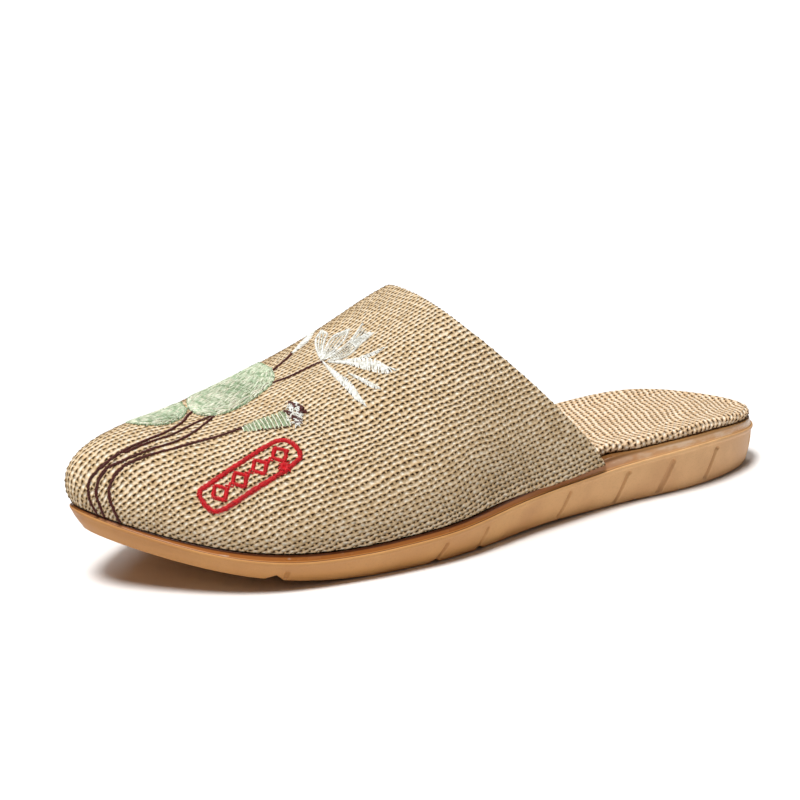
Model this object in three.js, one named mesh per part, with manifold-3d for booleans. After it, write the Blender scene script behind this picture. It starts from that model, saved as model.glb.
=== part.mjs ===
import * as THREE from "three";
import { mergeVertices } from "three/addons/utils/BufferGeometryUtils.js";
import Module from "manifold-3d";

// A left slip-on slipper, open at the back. Lengths are millimetres and +Z is up.
// The heel is at +X, the toe at -X, and the outer side of the foot at -Y.
// "along" is a station on the length: 0 at the back of the heel, 1 at the tip of the toe.

const wasm = await Module();
wasm.setup();

// Sole
const SOLE_LENGTH = 268;
const FOREFOOT_WIDTH = 100;
const HEEL_SOLE_HEIGHT = 18.7;
const TOE_SPRING = 21.2;
const TOE_SPRING_START = 0.651;
const BOTTOM_INSET = 5.3;
const BOTTOM_EDGE_ROUND = 1.3;
const RIM_STEP = 3.4;
const RIM_INSET = 1.4;
const LIP_THICKNESS = 1.1;
const ARCH_LIFT = 0.8;
const ARCH_START = 0.29;
const ARCH_END = 0.5;
const HEEL_BEVEL = 1.2;
const HEEL_BEVEL_END = 0.05;

// Ends of the outline, rounded off over these shares of the length
const HEEL_ROUND = 0.224;
const TOE_ROUND = 0.343;
const HEEL_ROUND_POWER = 2.05;
const TOE_ROUND_POWER = 1.99;

// Upper
const UPPER_HEIGHT = 72.2;
const UPPER_WALL = 2.4;
const UPPER_FOOT_INSET = 2.0;
const RIDGE_SHIFT = 3.8;
const SIDE_BULGE = 2.7;
const SIDE_POWER = 0.606;
const RISE_POWER = 0.866;
const COLLAR_TOP = 0.518;
const COLLAR_FOOT = 0.306;
const COLLAR_SWEEP = 1.226;
const COLLAR_ROLL = 0.8;
const TOE_CAP_START = 0.793;
const TOE_FOOT_INSET = 1.35;
const TOE_BULGE = 3.0;
const TOE_SIDE_POWER = 0.897;
const TOE_RISE_POWER = 0.842;

// Insole
const INSOLE_HEIGHT = 3.9;
const INSOLE_DISH = 0.9;
const INSOLE_HEEL_INSET = 1.6;
const INSOLE_TUCK_START = 0.24;
const INSOLE_TUCK_END = 0.292;

// Clearances
const LAYER_GAP = 0.3;
const GROOVE_OVERRUN = 0.8;
const GROOVE_REACH = 6;

// Mesh steps
const OUTLINE_STEPS = 52;
const VAMP_STEPS = 17;
const TOE_STEPS = 9;
const RISE_STEPS = 11;

// Half widths of the sole's lip, as shares of the forefoot width
const LIP_OUTLINE = [
  { along: 0.0, outer: 0.287, inner: 0.313 },
  { along: 0.12, outer: 0.312, inner: 0.337 },
  { along: 0.27, outer: 0.325, inner: 0.305 },
  { along: 0.42, outer: 0.410, inner: 0.357 },
  { along: 0.56, outer: 0.512, inner: 0.458 },
  { along: 0.7, outer: 0.520, inner: 0.479 },
  { along: 0.85, outer: 0.5, inner: 0.479 },
  { along: 1.0, outer: 0.347, inner: 0.316 },
];

// Height of the lip above the tread, as a share of the sole's height at the heel
const LIP_HEIGHT = [
  { along: 0.0, lip: 0.824 },
  { along: 0.12, lip: 1.000 },
  { along: 0.27, lip: 0.920 },
  { along: 0.36, lip: 0.802 },
  { along: 0.46, lip: 0.674 },
  { along: 0.56, lip: 0.535 },
  { along: 0.7, lip: 0.465 },
  { along: 0.85, lip: 0.381 },
  { along: 1.0, lip: 0.364 },
];

// Height of the step from the lip up to the sole's top, as a share of the rim step
const RIM_HEIGHT = [
  { along: 0.0, step: 0.32 },
  { along: 0.12, step: 0.52 },
  { along: 0.35, step: 0.94 },
  { along: 0.6, step: 1.00 },
  { along: 1.0, step: 0.28 },
];

// How far the tread's edge lies inside the lip, as a share of the bottom inset
const BOTTOM_EDGE = [
  { along: 0.0, inset: 0.5 },
  { along: 0.1, inset: 0.85 },
  { along: 0.2, inset: 1.0 },
  { along: 0.7, inset: 1.0 },
  { along: 1.0, inset: 0.7 },
];

// Height of the upper's ridge above the sole's top, as a share of the upper's height
const RIDGE_HEIGHT = [
  { along: 0.3, ridge: 0.993 },
  { along: 0.42, ridge: 1.000 },
  { along: 0.52, ridge: 0.940 },
  { along: 0.62, ridge: 0.783 },
  { along: 0.72, ridge: 0.651 },
  { along: 0.82, ridge: 0.526 },
  { along: 0.91, ridge: 0.5 },
  { along: 1.0, ridge: 0.468 },
];

// Grooves across the tread: station, half width and depth in millimetres
const TREAD_GROOVES = [
  { along: 0.171, half: 1.2, depth: 0.7 },
  { along: 0.243, half: 1.2, depth: 0.7 },
  { along: 0.373, half: 1.2, depth: 0.7 },
  { along: 0.513, half: 2.2, depth: 1.5 },
  { along: 0.584, half: 2.4, depth: 1.6 },
  { along: 0.797, half: 3.0, depth: 2.3 },
];

// Slanting dents in the side wall: station and height (a share of the wall) at each end,
// with half width and depth in millimetres
const SIDE_DENTS = [
  { topAlong: 0.021, topHeight: 0.7, lowAlong: 0.016, lowHeight: 0.14, half: 1.1, depth: 0.9 },
  { topAlong: 0.1126, topHeight: 0.74, lowAlong: 0.1192, lowHeight: 0.2, half: 1.4, depth: 1.0 },
  { topAlong: 0.1944, topHeight: 0.76, lowAlong: 0.2057, lowHeight: 0.12, half: 1.4, depth: 1.0 },
  { topAlong: 0.2642, topHeight: 0.78, lowAlong: 0.2739, lowHeight: 0.16, half: 1.1, depth: 0.9 },
  { topAlong: 0.3623, topHeight: 0.8, lowAlong: 0.3699, lowHeight: 0.14, half: 1.1, depth: 0.9 },
  { topAlong: 0.5048, topHeight: 0.76, lowAlong: 0.5118, lowHeight: 0.12, half: 1.1, depth: 0.9 },
  { topAlong: 0.5716, topHeight: 0.76, lowAlong: 0.581, lowHeight: 0.2, half: 1.1, depth: 0.9 },
  { topAlong: 0.7875, topHeight: 0.58, lowAlong: 0.7896, lowHeight: 0.24, half: 0.8, depth: 0.7 },
];

// A smooth curve through one column of a table
function curveThrough(table, column) {
  const slopes = table.map((row, i) => {
    const before = table[Math.max(i - 1, 0)];
    const after = table[Math.min(i + 1, table.length - 1)];
    return (after[column] - before[column]) / (after.along - before.along);
  });
  return (along) => {
    const last = table.length - 1;
    const at = THREE.MathUtils.clamp(along, table[0].along, table[last].along);
    let i = 0;
    while (i < last - 1 && at > table[i + 1].along) {
      i += 1;
    }
    const span = table[i + 1].along - table[i].along;
    const t = (at - table[i].along) / span;
    const rise = table[i + 1][column] - table[i][column];
    const start = slopes[i] * span;
    const end = slopes[i + 1] * span;
    const bend = t * t * (3 * rise - 2 * start - end) + t ** 3 * (start + end - 2 * rise);
    return table[i][column] + t * start + bend;
  };
}

const outerWidth = curveThrough(LIP_OUTLINE, "outer");
const innerWidth = curveThrough(LIP_OUTLINE, "inner");
const lipShare = curveThrough(LIP_HEIGHT, "lip");
const stepShare = curveThrough(RIM_HEIGHT, "step");
const bottomShare = curveThrough(BOTTOM_EDGE, "inset");
const ridgeShare = curveThrough(RIDGE_HEIGHT, "ridge");

// Rounds the outline off towards the heel and the toe: 1 between them, 0 at both tips
function endRounding(along) {
  const heel = THREE.MathUtils.clamp((HEEL_ROUND - along) / HEEL_ROUND, 0, 1);
  const toe = THREE.MathUtils.clamp((along - 1 + TOE_ROUND) / TOE_ROUND, 0, 1);
  const power = heel > 0 ? HEEL_ROUND_POWER : TOE_ROUND_POWER;
  return Math.pow(1 - Math.pow(Math.max(heel, toe), power), 1 / power);
}

const stationOf = (x) => THREE.MathUtils.clamp(0.5 - x / SOLE_LENGTH, 0, 1);
const turnOf = (along) => Math.acos(THREE.MathUtils.clamp(1 - 2 * along, -1, 1));

// A point of the lip in plan. turn runs from 0 at the heel to PI at the toe; side is -1 outer, 1 inner
function lipPoint(turn, side) {
  const along = (1 - Math.cos(turn)) / 2;
  const share = side < 0 ? outerWidth(along) : innerWidth(along);
  const y = side * FOREFOOT_WIDTH * share * endRounding(along);
  return new THREE.Vector2(SOLE_LENGTH * (0.5 - along), y);
}

// The lip's outline moved inwards by an inset
function outlinePoint(turn, side, inset) {
  const point = lipPoint(turn, side);
  const step = 0.001;
  const tip = turn < 1e-6 || turn > Math.PI - 1e-6;
  const before = lipPoint(Math.max(turn - step, 0), side);
  const tangent = lipPoint(Math.min(turn + step, Math.PI), side).sub(before).normalize();
  const inward = new THREE.Vector2(-tangent.y, tangent.x).multiplyScalar(side);
  if (tip) {
    inward.set(turn < 1 ? -1 : 1, 0);
  }
  return point.addScaledVector(inward, inset);
}

const outlineAt = (along, side, inset) => outlinePoint(turnOf(along), side, inset);

// Heights of the tread line, the lip and the sole's top at a station
function springHeight(along) {
  const share = Math.max(along - TOE_SPRING_START, 0) / (1 - TOE_SPRING_START);
  return TOE_SPRING * share * share;
}

function treadHeight(along) {
  const arch = THREE.MathUtils.clamp((along - ARCH_START) / (ARCH_END - ARCH_START), 0, 1);
  const heel = Math.max(1 - along / HEEL_BEVEL_END, 0);
  return springHeight(along) + ARCH_LIFT * Math.sin(Math.PI * arch) ** 2 + HEEL_BEVEL * heel * heel;
}

const bottomInset = (along) => BOTTOM_INSET * bottomShare(along);
const lipHeight = (along) => springHeight(along) + HEEL_SOLE_HEIGHT * lipShare(along);
const topHeight = (along) => lipHeight(along) + RIM_STEP * stepShare(along);

// Turns a triangle list into a closed geometry with shared corners
function closedGeometry(triangles) {
  const loose = new THREE.BufferGeometry().setFromPoints(triangles.flat());
  const geometry = mergeVertices(loose, 0.0005);
  const index = geometry.getIndex().array;
  const kept = [];
  for (let i = 0; i < index.length; i += 3) {
    const [a, b, c] = [index[i], index[i + 1], index[i + 2]];
    if (a !== b && b !== c && a !== c) {
      kept.push(a, b, c);
    }
  }
  geometry.setIndex(kept);
  return geometry;
}

// Covers a grid of points, rows by columns, with two triangles to a cell
function gridTriangles(rows, flip = false) {
  const triangles = [];
  for (let i = 0; i + 1 < rows.length; i += 1) {
    for (let j = 0; j + 1 < rows[i].length; j += 1) {
      const corners = [rows[i][j], rows[i][j + 1], rows[i + 1][j + 1], rows[i + 1][j]];
      const [a, b, c, d] = flip ? [...corners].reverse() : corners;
      triangles.push([a, b, c], [a, c, d]);
    }
  }
  return triangles;
}

// A slab shaped like the outline: levels run from the edge of its underside, up the side, to the edge of its top.
// Each level gives the inset and the height of its ring at a turn and side.
function slabGeometry(levels) {
  const turns = Array.from({ length: OUTLINE_STEPS + 1 }, (_, i) => (Math.PI * i) / OUTLINE_STEPS);
  const ring = (level, side) =>
    turns.map((turn) => {
      const along = (1 - Math.cos(turn)) / 2;
      const plan = outlinePoint(turn, side, level.inset(along));
      return new THREE.Vector3(plan.x, plan.y, level.height(stationOf(plan.x)));
    });
  const outer = levels.map((level) => ring(level, -1));
  const inner = levels.map((level) => ring(level, 1));
  const last = levels.length - 1;
  return closedGeometry([
    ...gridTriangles(outer),
    ...gridTriangles(inner, true),
    ...gridTriangles([inner[0], outer[0]]),
    ...gridTriangles([outer[last], inner[last]]),
  ]);
}

function toSolid(geometry) {
  const shared = geometry.clone();
  shared.deleteAttribute("normal");
  shared.deleteAttribute("uv");
  const merged = mergeVertices(shared, 0.0005);
  const vertProperties = new Float32Array(merged.getAttribute("position").array);
  const triVerts = new Uint32Array(merged.getIndex().array);
  return new wasm.Manifold(new wasm.Mesh({ numProp: 3, vertProperties, triVerts }));
}

function fromSolid(solid) {
  const mesh = solid.getMesh();
  const geometry = new THREE.BufferGeometry();
  geometry.setAttribute("position", new THREE.BufferAttribute(mesh.vertProperties, 3));
  geometry.setIndex(new THREE.BufferAttribute(mesh.triVerts, 1));
  return geometry;
}

// A three-sided wedge from start to end that opens towards the outside and is deepest in its middle
function wedgeGeometry(start, end, outward, half, depth, endDepth) {
  const run = end.clone().sub(start);
  const across = new THREE.Vector3().crossVectors(run, outward).normalize().multiplyScalar(half);
  const section = (centre, deep) => [
    centre.clone().addScaledVector(outward, GROOVE_OVERRUN).add(across),
    centre.clone().addScaledVector(outward, GROOVE_OVERRUN).sub(across),
    centre.clone().addScaledVector(outward, -deep),
  ];
  const middle = start.clone().lerp(end, 0.5);
  const rows = [section(start, endDepth), section(middle, depth), section(end, endDepth)];
  const closed = rows.map((row) => [...row, row[0]]);
  return closedGeometry([...gridTriangles(closed), [...rows[0]].reverse(), rows[2]]);
}

// A point on the straight part of the sole's side wall, and the wall's outward direction there
function wallPoint(along, share, side) {
  const low = outlineAt(along, side, bottomInset(along));
  const high = outlineAt(along, side, 0);
  const plan = low.clone().lerp(high, share);
  const z = THREE.MathUtils.lerp(treadHeight(along), lipHeight(along), share);
  return new THREE.Vector3(plan.x, plan.y, z);
}

function wallOutward(along, side) {
  const rise = wallPoint(along, 1, side).sub(wallPoint(along, 0, side));
  const ahead = wallPoint(Math.min(along + 0.01, 0.999), 0.5, side);
  const run = ahead.sub(wallPoint(Math.max(along - 0.01, 0.001), 0.5, side));
  return new THREE.Vector3().crossVectors(rise, run).multiplyScalar(side).normalize();
}

function orientedSolid(geometry) {
  const solid = toSolid(geometry);
  if (solid.volume() > 0) {
    return solid;
  }
  const index = Array.from(geometry.getIndex().array).reverse();
  geometry.setIndex(index);
  return toSolid(geometry);
}

function soleGeometry() {
  const levels = [
    { inset: (s) => bottomInset(s) + BOTTOM_EDGE_ROUND, height: treadHeight },
    { inset: bottomInset, height: (s) => treadHeight(s) + 0.6 * BOTTOM_EDGE_ROUND },
    { inset: () => LIP_THICKNESS * 0.5, height: (s) => lipHeight(s) - LIP_THICKNESS * 1.6 },
    { inset: () => 0, height: (s) => lipHeight(s) - LIP_THICKNESS },
    { inset: () => 0.15, height: lipHeight },
    { inset: () => 0.75, height: (s) => lipHeight(s) + 0.05 },
    { inset: () => RIM_INSET - 0.3, height: (s) => topHeight(s) - 0.35 },
    { inset: () => RIM_INSET, height: topHeight },
  ];
  let solid = orientedSolid(slabGeometry(levels));
  for (const groove of TREAD_GROOVES) {
    const outer = outlineAt(groove.along, -1, -GROOVE_REACH);
    const inner = outlineAt(groove.along, 1, -GROOVE_REACH);
    const z = treadHeight(groove.along);
    const start = new THREE.Vector3(outer.x, outer.y, z);
    const end = new THREE.Vector3(outer.x, inner.y, z);
    const down = new THREE.Vector3(0, 0, -1);
    const wedge = wedgeGeometry(start, end, down, groove.half, groove.depth, groove.depth);
    solid = solid.subtract(orientedSolid(wedge));
  }
  for (const side of [-1, 1]) {
    for (const dent of SIDE_DENTS) {
      const start = wallPoint(dent.lowAlong, dent.lowHeight, side);
      const end = wallPoint(dent.topAlong, dent.topHeight, side);
      const outward = wallOutward((dent.lowAlong + dent.topAlong) / 2, side);
      solid = solid.subtract(orientedSolid(wedgeGeometry(start, end, outward, dent.half, dent.depth, 0.15)));
    }
  }
  return fromSolid(solid);
}

// One point of the upper, on the rib that stands on a foot point and leans over to a ridge point.
// rise runs from 0 at the foot to PI / 2 at the ridge, sweep from 0 at the toe cap's start to 1 at its tip;
// wall moves the surface inwards.
function ribPoint(foot, ridge, rise, sweep, wall) {
  const toe = Math.pow(sweep, 1.5);
  const sidePower = THREE.MathUtils.lerp(SIDE_POWER, TOE_SIDE_POWER, toe);
  const risePower = THREE.MathUtils.lerp(RISE_POWER, TOE_RISE_POWER, sweep);
  const atRidge = rise > Math.PI / 2 - 1e-6;
  const reach = atRidge ? 0 : Math.pow(Math.cos(rise), sidePower);
  const lift = atRidge ? 1 : Math.pow(Math.sin(rise), risePower);
  const span = foot.distanceTo(ridge);
  const bulge = THREE.MathUtils.lerp(SIDE_BULGE, TOE_BULGE, toe) * Math.sin(Math.PI * Math.pow(lift, 0.6));
  const plan = ridge.clone().lerp(foot, reach * (1 + bulge / span));
  const along = stationOf(plan.x);
  const height = UPPER_HEIGHT * ridgeShare(along) - wall;
  return new THREE.Vector3(plan.x, plan.y, topHeight(along) + LAYER_GAP + height * lift);
}

// Ribs of one side: from the collar to the toe cap's start, then fanned out around the toe.
// Each row follows one height from the collar to the toe.
function upperRows(side, wall) {
  const rows = [];
  for (let j = 0; j <= RISE_STEPS; j += 1) {
    const rise = (Math.PI / 2) * (j / RISE_STEPS);
    const collar = COLLAR_TOP + (COLLAR_FOOT - COLLAR_TOP) * Math.pow(1 - Math.sin(rise), COLLAR_SWEEP);
    const row = [];
    for (let i = 0; i <= VAMP_STEPS; i += 1) {
      const along = THREE.MathUtils.lerp(collar, TOE_CAP_START, i / VAMP_STEPS);
      const foot = outlineAt(along, side, UPPER_FOOT_INSET + wall);
      const ridge = new THREE.Vector2(SOLE_LENGTH * (0.5 - along), RIDGE_SHIFT);
      row.push(ribPoint(foot, ridge, rise, 0, wall));
    }
    const ridge = new THREE.Vector2(SOLE_LENGTH * (0.5 - TOE_CAP_START), RIDGE_SHIFT);
    for (let i = 1; i <= TOE_STEPS; i += 1) {
      const sweep = Math.sin((Math.PI / 2) * (i / TOE_STEPS));
      const inset = THREE.MathUtils.lerp(UPPER_FOOT_INSET, TOE_FOOT_INSET, sweep * sweep) + wall;
      const foot = outlineAt(THREE.MathUtils.lerp(TOE_CAP_START, 1, sweep), side, inset);
      row.push(ribPoint(foot, ridge, rise, sweep, wall));
    }
    rows.push(row);
  }
  return rows;
}

function upperGeometry() {
  const triangles = [];
  for (const side of [-1, 1]) {
    const outside = upperRows(side, 0);
    const lining = upperRows(side, UPPER_WALL);
    const rolled = outside.map((row, j) => {
      const middle = row[0].clone().lerp(lining[j][0], 0.5);
      middle.x += COLLAR_ROLL;
      middle.z = Math.max(middle.z, row[0].z);
      return middle;
    });
    const outerEdge = outside.map((row) => row[0]);
    const innerEdge = lining.map((row) => row[0]);
    const flip = side > 0;
    triangles.push(...gridTriangles(outside, flip));
    triangles.push(...gridTriangles(lining, !flip));
    triangles.push(...gridTriangles([outerEdge, rolled, innerEdge], flip));
    triangles.push(...gridTriangles([lining[0], outside[0]], flip));
    const heelEnd = [outerEdge[0], rolled[0], innerEdge[0]];
    triangles.push(flip ? heelEnd.reverse() : heelEnd);
  }
  return closedGeometry(triangles);
}

function insoleGeometry() {
  const tuck = UPPER_FOOT_INSET + UPPER_WALL + LAYER_GAP;
  const tuckShare = (s) => THREE.MathUtils.smoothstep(s, INSOLE_TUCK_START, INSOLE_TUCK_END);
  const edge = (s) => THREE.MathUtils.lerp(INSOLE_HEEL_INSET, tuck + 0.3, tuckShare(s));
  const over = (share) => (s) => topHeight(s) + LAYER_GAP + (INSOLE_HEIGHT - LAYER_GAP) * share;
  const levels = [
    { inset: (s) => edge(s) + 0.9, height: over(0) },
    { inset: (s) => edge(s) + 0.1, height: over(0.28) },
    { inset: (s) => edge(s), height: over(0.6) },
    { inset: (s) => edge(s) + 0.6, height: over(0.9) },
    { inset: (s) => edge(s) + 2.0, height: over(1) },
    { inset: (s) => edge(s) + 4.2, height: (s) => over(1)(s) - INSOLE_DISH * 0.6 },
    { inset: (s) => edge(s) + 8.0, height: (s) => over(1)(s) - INSOLE_DISH },
  ];
  return fromSolid(orientedSolid(slabGeometry(levels)));
}

function namedMesh(name, geometry, colour, roughness) {
  const material = new THREE.MeshStandardMaterial({ color: colour, roughness, metalness: 0 });
  geometry.computeVertexNormals();
  const mesh = new THREE.Mesh(geometry, material);
  mesh.name = name;
  return mesh;
}

const slipper = new THREE.Group();
slipper.add(namedMesh("sole", soleGeometry(), 0xc99662, 0.55));
slipper.add(namedMesh("insole", insoleGeometry(), 0xf0e2c6, 0.92));
slipper.add(namedMesh("upper", fromSolid(orientedSolid(upperGeometry())), 0xd6c4a0, 0.95));

// The origin is under the middle of the slipper, on the floor
const box = new THREE.Box3().setFromObject(slipper);
const centre = box.getCenter(new THREE.Vector3());
slipper.position.set(-centre.x, -centre.y, -box.min.z);

export default slipper;
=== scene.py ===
"""Looks for a left slip-on slipper: woven upper with embroidery, woven insole and moulded sole.

Shapes are worked out in millimetres on the slipper's last and turned into metres when a mesh is made.
The toe is at -X, the outer side at -Y, and a station runs from 0 at the heel to 1 at the toe.
"""

from __future__ import annotations

import logging
import math
from collections.abc import Callable
from dataclasses import dataclass, field
from enum import Enum

import bpy
import numpy as np
from bpy.types import Material, Node, NodeSocket, NodeTree, Object
from mathutils import Matrix, Vector
from mathutils.bvhtree import BVHTree

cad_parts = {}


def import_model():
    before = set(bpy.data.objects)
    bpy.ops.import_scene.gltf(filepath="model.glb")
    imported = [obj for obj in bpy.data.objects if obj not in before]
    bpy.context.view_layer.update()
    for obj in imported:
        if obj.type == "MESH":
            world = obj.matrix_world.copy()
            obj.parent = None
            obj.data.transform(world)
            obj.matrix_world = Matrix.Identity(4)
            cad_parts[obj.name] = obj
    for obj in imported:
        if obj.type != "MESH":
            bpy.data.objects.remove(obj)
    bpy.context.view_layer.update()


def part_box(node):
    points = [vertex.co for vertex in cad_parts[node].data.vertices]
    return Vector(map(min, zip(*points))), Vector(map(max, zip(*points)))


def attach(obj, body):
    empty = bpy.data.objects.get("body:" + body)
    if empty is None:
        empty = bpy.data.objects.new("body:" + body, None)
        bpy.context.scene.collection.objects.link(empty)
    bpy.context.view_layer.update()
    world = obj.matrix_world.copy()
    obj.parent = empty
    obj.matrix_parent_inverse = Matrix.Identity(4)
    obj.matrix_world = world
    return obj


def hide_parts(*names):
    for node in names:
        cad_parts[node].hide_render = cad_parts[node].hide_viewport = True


LOG = logging.getLogger("slipper")
BODY = "root"
MM = 0.001
TINY = 1e-6
NUMBER = "NodeSocketFloat"
VECTOR = "NodeSocketVector"
TURN_STEP = 0.001
Array = np.ndarray
Colour = tuple[float, float, float, float]
Table = tuple[tuple[float, ...], ...]
Points = tuple[tuple[float, float], ...]


def linear(code: str) -> Colour:
    """Turns a screen colour into a linear one.

    Args:
        code: Six hexadecimal digits such as d8c6a0.

    Returns:
        Red, green, blue and an alpha of 1.
    """
    parts = [int(code[i : i + 2], 16) / 255 for i in (0, 2, 4)]
    red, green, blue = (c / 12.92 if c <= 0.04045 else ((c + 0.055) / 1.055) ** 2.4 for c in parts)
    return (red, green, blue, 1.0)


def through(table: Table, column: int, along: Array) -> Array:
    """Reads a smooth curve through one column of a table.

    Args:
        table: Rows of stations and values; the station is the first column.
        column: The column to read.
        along: Stations to read at.

    Returns:
        The column's values at the stations.
    """
    rows = np.asarray(table, float)
    x = rows[:, 0]
    y = rows[:, column]
    ahead = np.minimum(np.arange(len(x)) + 1, len(x) - 1)
    behind = np.maximum(np.arange(len(x)) - 1, 0)
    slope = (y[ahead] - y[behind]) / (x[ahead] - x[behind])
    at = np.clip(along, x[0], x[-1])
    i = np.clip(np.searchsorted(x, at, side="right") - 1, 0, len(x) - 2)
    span = x[i + 1] - x[i]
    t = (at - x[i]) / span
    rise = y[i + 1] - y[i]
    start = slope[i] * span
    end = slope[i + 1] * span
    return y[i] + t * start + t * t * (3 * rise - 2 * start - end) + t**3 * (start + end - 2 * rise)


def eased(share: Array) -> Array:
    """Returns a share from 0 to 1 with a soft start and end."""
    return share * share * (3 - 2 * share)


def run_lengths(points: Array) -> Array:
    """Returns the length along a line of points, up to each of them."""
    return np.concatenate([[0], np.cumsum(np.linalg.norm(np.diff(points, axis=0), axis=1))])


def quad_corners(net: Array) -> tuple[Array, ...]:
    """Returns the four corners of each quad of a net, in turn round it."""
    return net[:-1, :-1], net[:-1, 1:], net[1:, 1:], net[1:, :-1]


def sweep_steps(vamp_steps: int, toe_steps: int) -> Array:
    """Returns sweeps from 0 at the collar to 1 where the toe starts, and on to 2 at the toe's tip."""
    return np.concatenate([np.linspace(0, 1, vamp_steps + 1), np.linspace(1, 2, toe_steps + 1)[1:]])


@dataclass(frozen=True)
class Last:
    """The form that the slipper is made on, in millimetres with the toe at -X and the outer side at -Y."""

    length: float = 268.0
    width: float = 100.0
    heel_height: float = 18.7
    toe_spring: float = 21.2
    spring_start: float = 0.651
    rim_step: float = 3.4
    arch_lift: float = 0.8
    arch: tuple[float, float] = (0.29, 0.5)
    heel_bevel: float = 1.2
    bevel_end: float = 0.05
    heel_round: tuple[float, float] = (0.224, 2.05)
    toe_round: tuple[float, float] = (0.343, 1.99)
    outline_table: Table = (
        (0.0, 0.287, 0.313), (0.12, 0.312, 0.337), (0.27, 0.325, 0.305), (0.42, 0.410, 0.357),
        (0.56, 0.512, 0.458), (0.7, 0.520, 0.479), (0.85, 0.5, 0.479), (1.0, 0.347, 0.316),
    )
    lip_table: Table = (
        (0.0, 0.824), (0.12, 1.0), (0.27, 0.920), (0.36, 0.802), (0.46, 0.674), (0.56, 0.535),
        (0.7, 0.465), (0.85, 0.381), (1.0, 0.364),
    )
    step_table: Table = (
        (0.0, 0.32), (0.12, 0.52), (0.35, 0.94), (0.6, 1.0), (1.0, 0.28),
    )
    bottom_inset: float = 5.3
    bottom_table: Table = (
        (0.0, 0.5), (0.1, 0.85), (0.2, 1.0), (0.7, 1.0), (1.0, 0.7),
    )

    def station(self, x: Array) -> Array:
        """Returns the station of an x, from 0 at the heel to 1 at the toe."""
        return np.clip(0.5 - x / self.length, 0.0, 1.0)

    def lip(self, turn: Array, side: int) -> Array:
        """Returns the lip's outline in plan.

        Args:
            turn: Angles from 0 at the heel to pi at the toe.
            side: -1 for the outer, 1 for the inner.

        Returns:
            Points, one row each.
        """
        along = (1 - np.cos(turn)) / 2
        heel = np.clip((self.heel_round[0] - along) / self.heel_round[0], 0, 1)
        toe = np.clip((along - 1 + self.toe_round[0]) / self.toe_round[0], 0, 1)
        power = np.where(heel > 0, self.heel_round[1], self.toe_round[1])
        rounding = np.clip(1 - np.maximum(heel, toe) ** power, 0, 1) ** (1 / power)
        share = through(self.outline_table, 1 if side < 0 else 2, along)
        return np.stack([self.length * (0.5 - along), side * self.width * share * rounding], -1)

    def outline(self, turn: Array, side: int, inset: Array | float) -> Array:
        """Returns the lip's outline moved inwards.

        Args:
            turn: Angles from 0 at the heel to pi at the toe.
            side: -1 for the outer, 1 for the inner.
            inset: How far the outline moves in.

        Returns:
            Points, one row each.
        """
        turn = np.asarray(turn, float)
        ahead, behind = np.minimum(turn + TURN_STEP, math.pi), np.maximum(turn - TURN_STEP, 0)
        run = self.lip(ahead, side) - self.lip(behind, side)
        inward = np.stack([-run[..., 1], run[..., 0]], -1) * side
        tip = (turn < TINY) | (turn > math.pi - TINY)
        along = np.stack([np.where(turn < 1, -1.0, 1.0), 0 * turn], -1)
        inward = np.where(tip[..., None], along, inward)
        inward /= np.linalg.norm(inward, axis=-1, keepdims=True)
        return self.lip(turn, side) + inward * np.asarray(inset)[..., None]

    def bottom_edge(self, along: Array) -> Array:
        """Returns how far the tread's edge lies inside the lip at stations."""
        return self.bottom_inset * through(self.bottom_table, 1, along)

    def tread_height(self, along: Array) -> Array:
        """Returns the height of the tread's edge.

        Args:
            along: Stations.

        Returns:
            A height per station: toe spring, the lift under the arch and the bevel under the heel.
        """
        arch = np.clip((along - self.arch[0]) / (self.arch[1] - self.arch[0]), 0, 1)
        lift = self.arch_lift * np.sin(math.pi * arch) ** 2
        heel = np.clip(1 - along / self.bevel_end, 0, None)
        return self.spring_height(along) + lift + self.heel_bevel * heel**2

    def spring_height(self, along: Array) -> Array:
        """Returns how far the toe spring lifts the sole at stations."""
        return self.toe_spring * (np.clip(along - self.spring_start, 0, None) / (1 - self.spring_start)) ** 2

    def lip_height(self, along: Array) -> Array:
        """Returns the height of the lip at stations."""
        return self.spring_height(along) + self.heel_height * through(self.lip_table, 1, along)

    def top_height(self, along: Array) -> Array:
        """Returns the height of the sole's top at stations."""
        return self.lip_height(along) + self.rim_step * through(self.step_table, 1, along)


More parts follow.
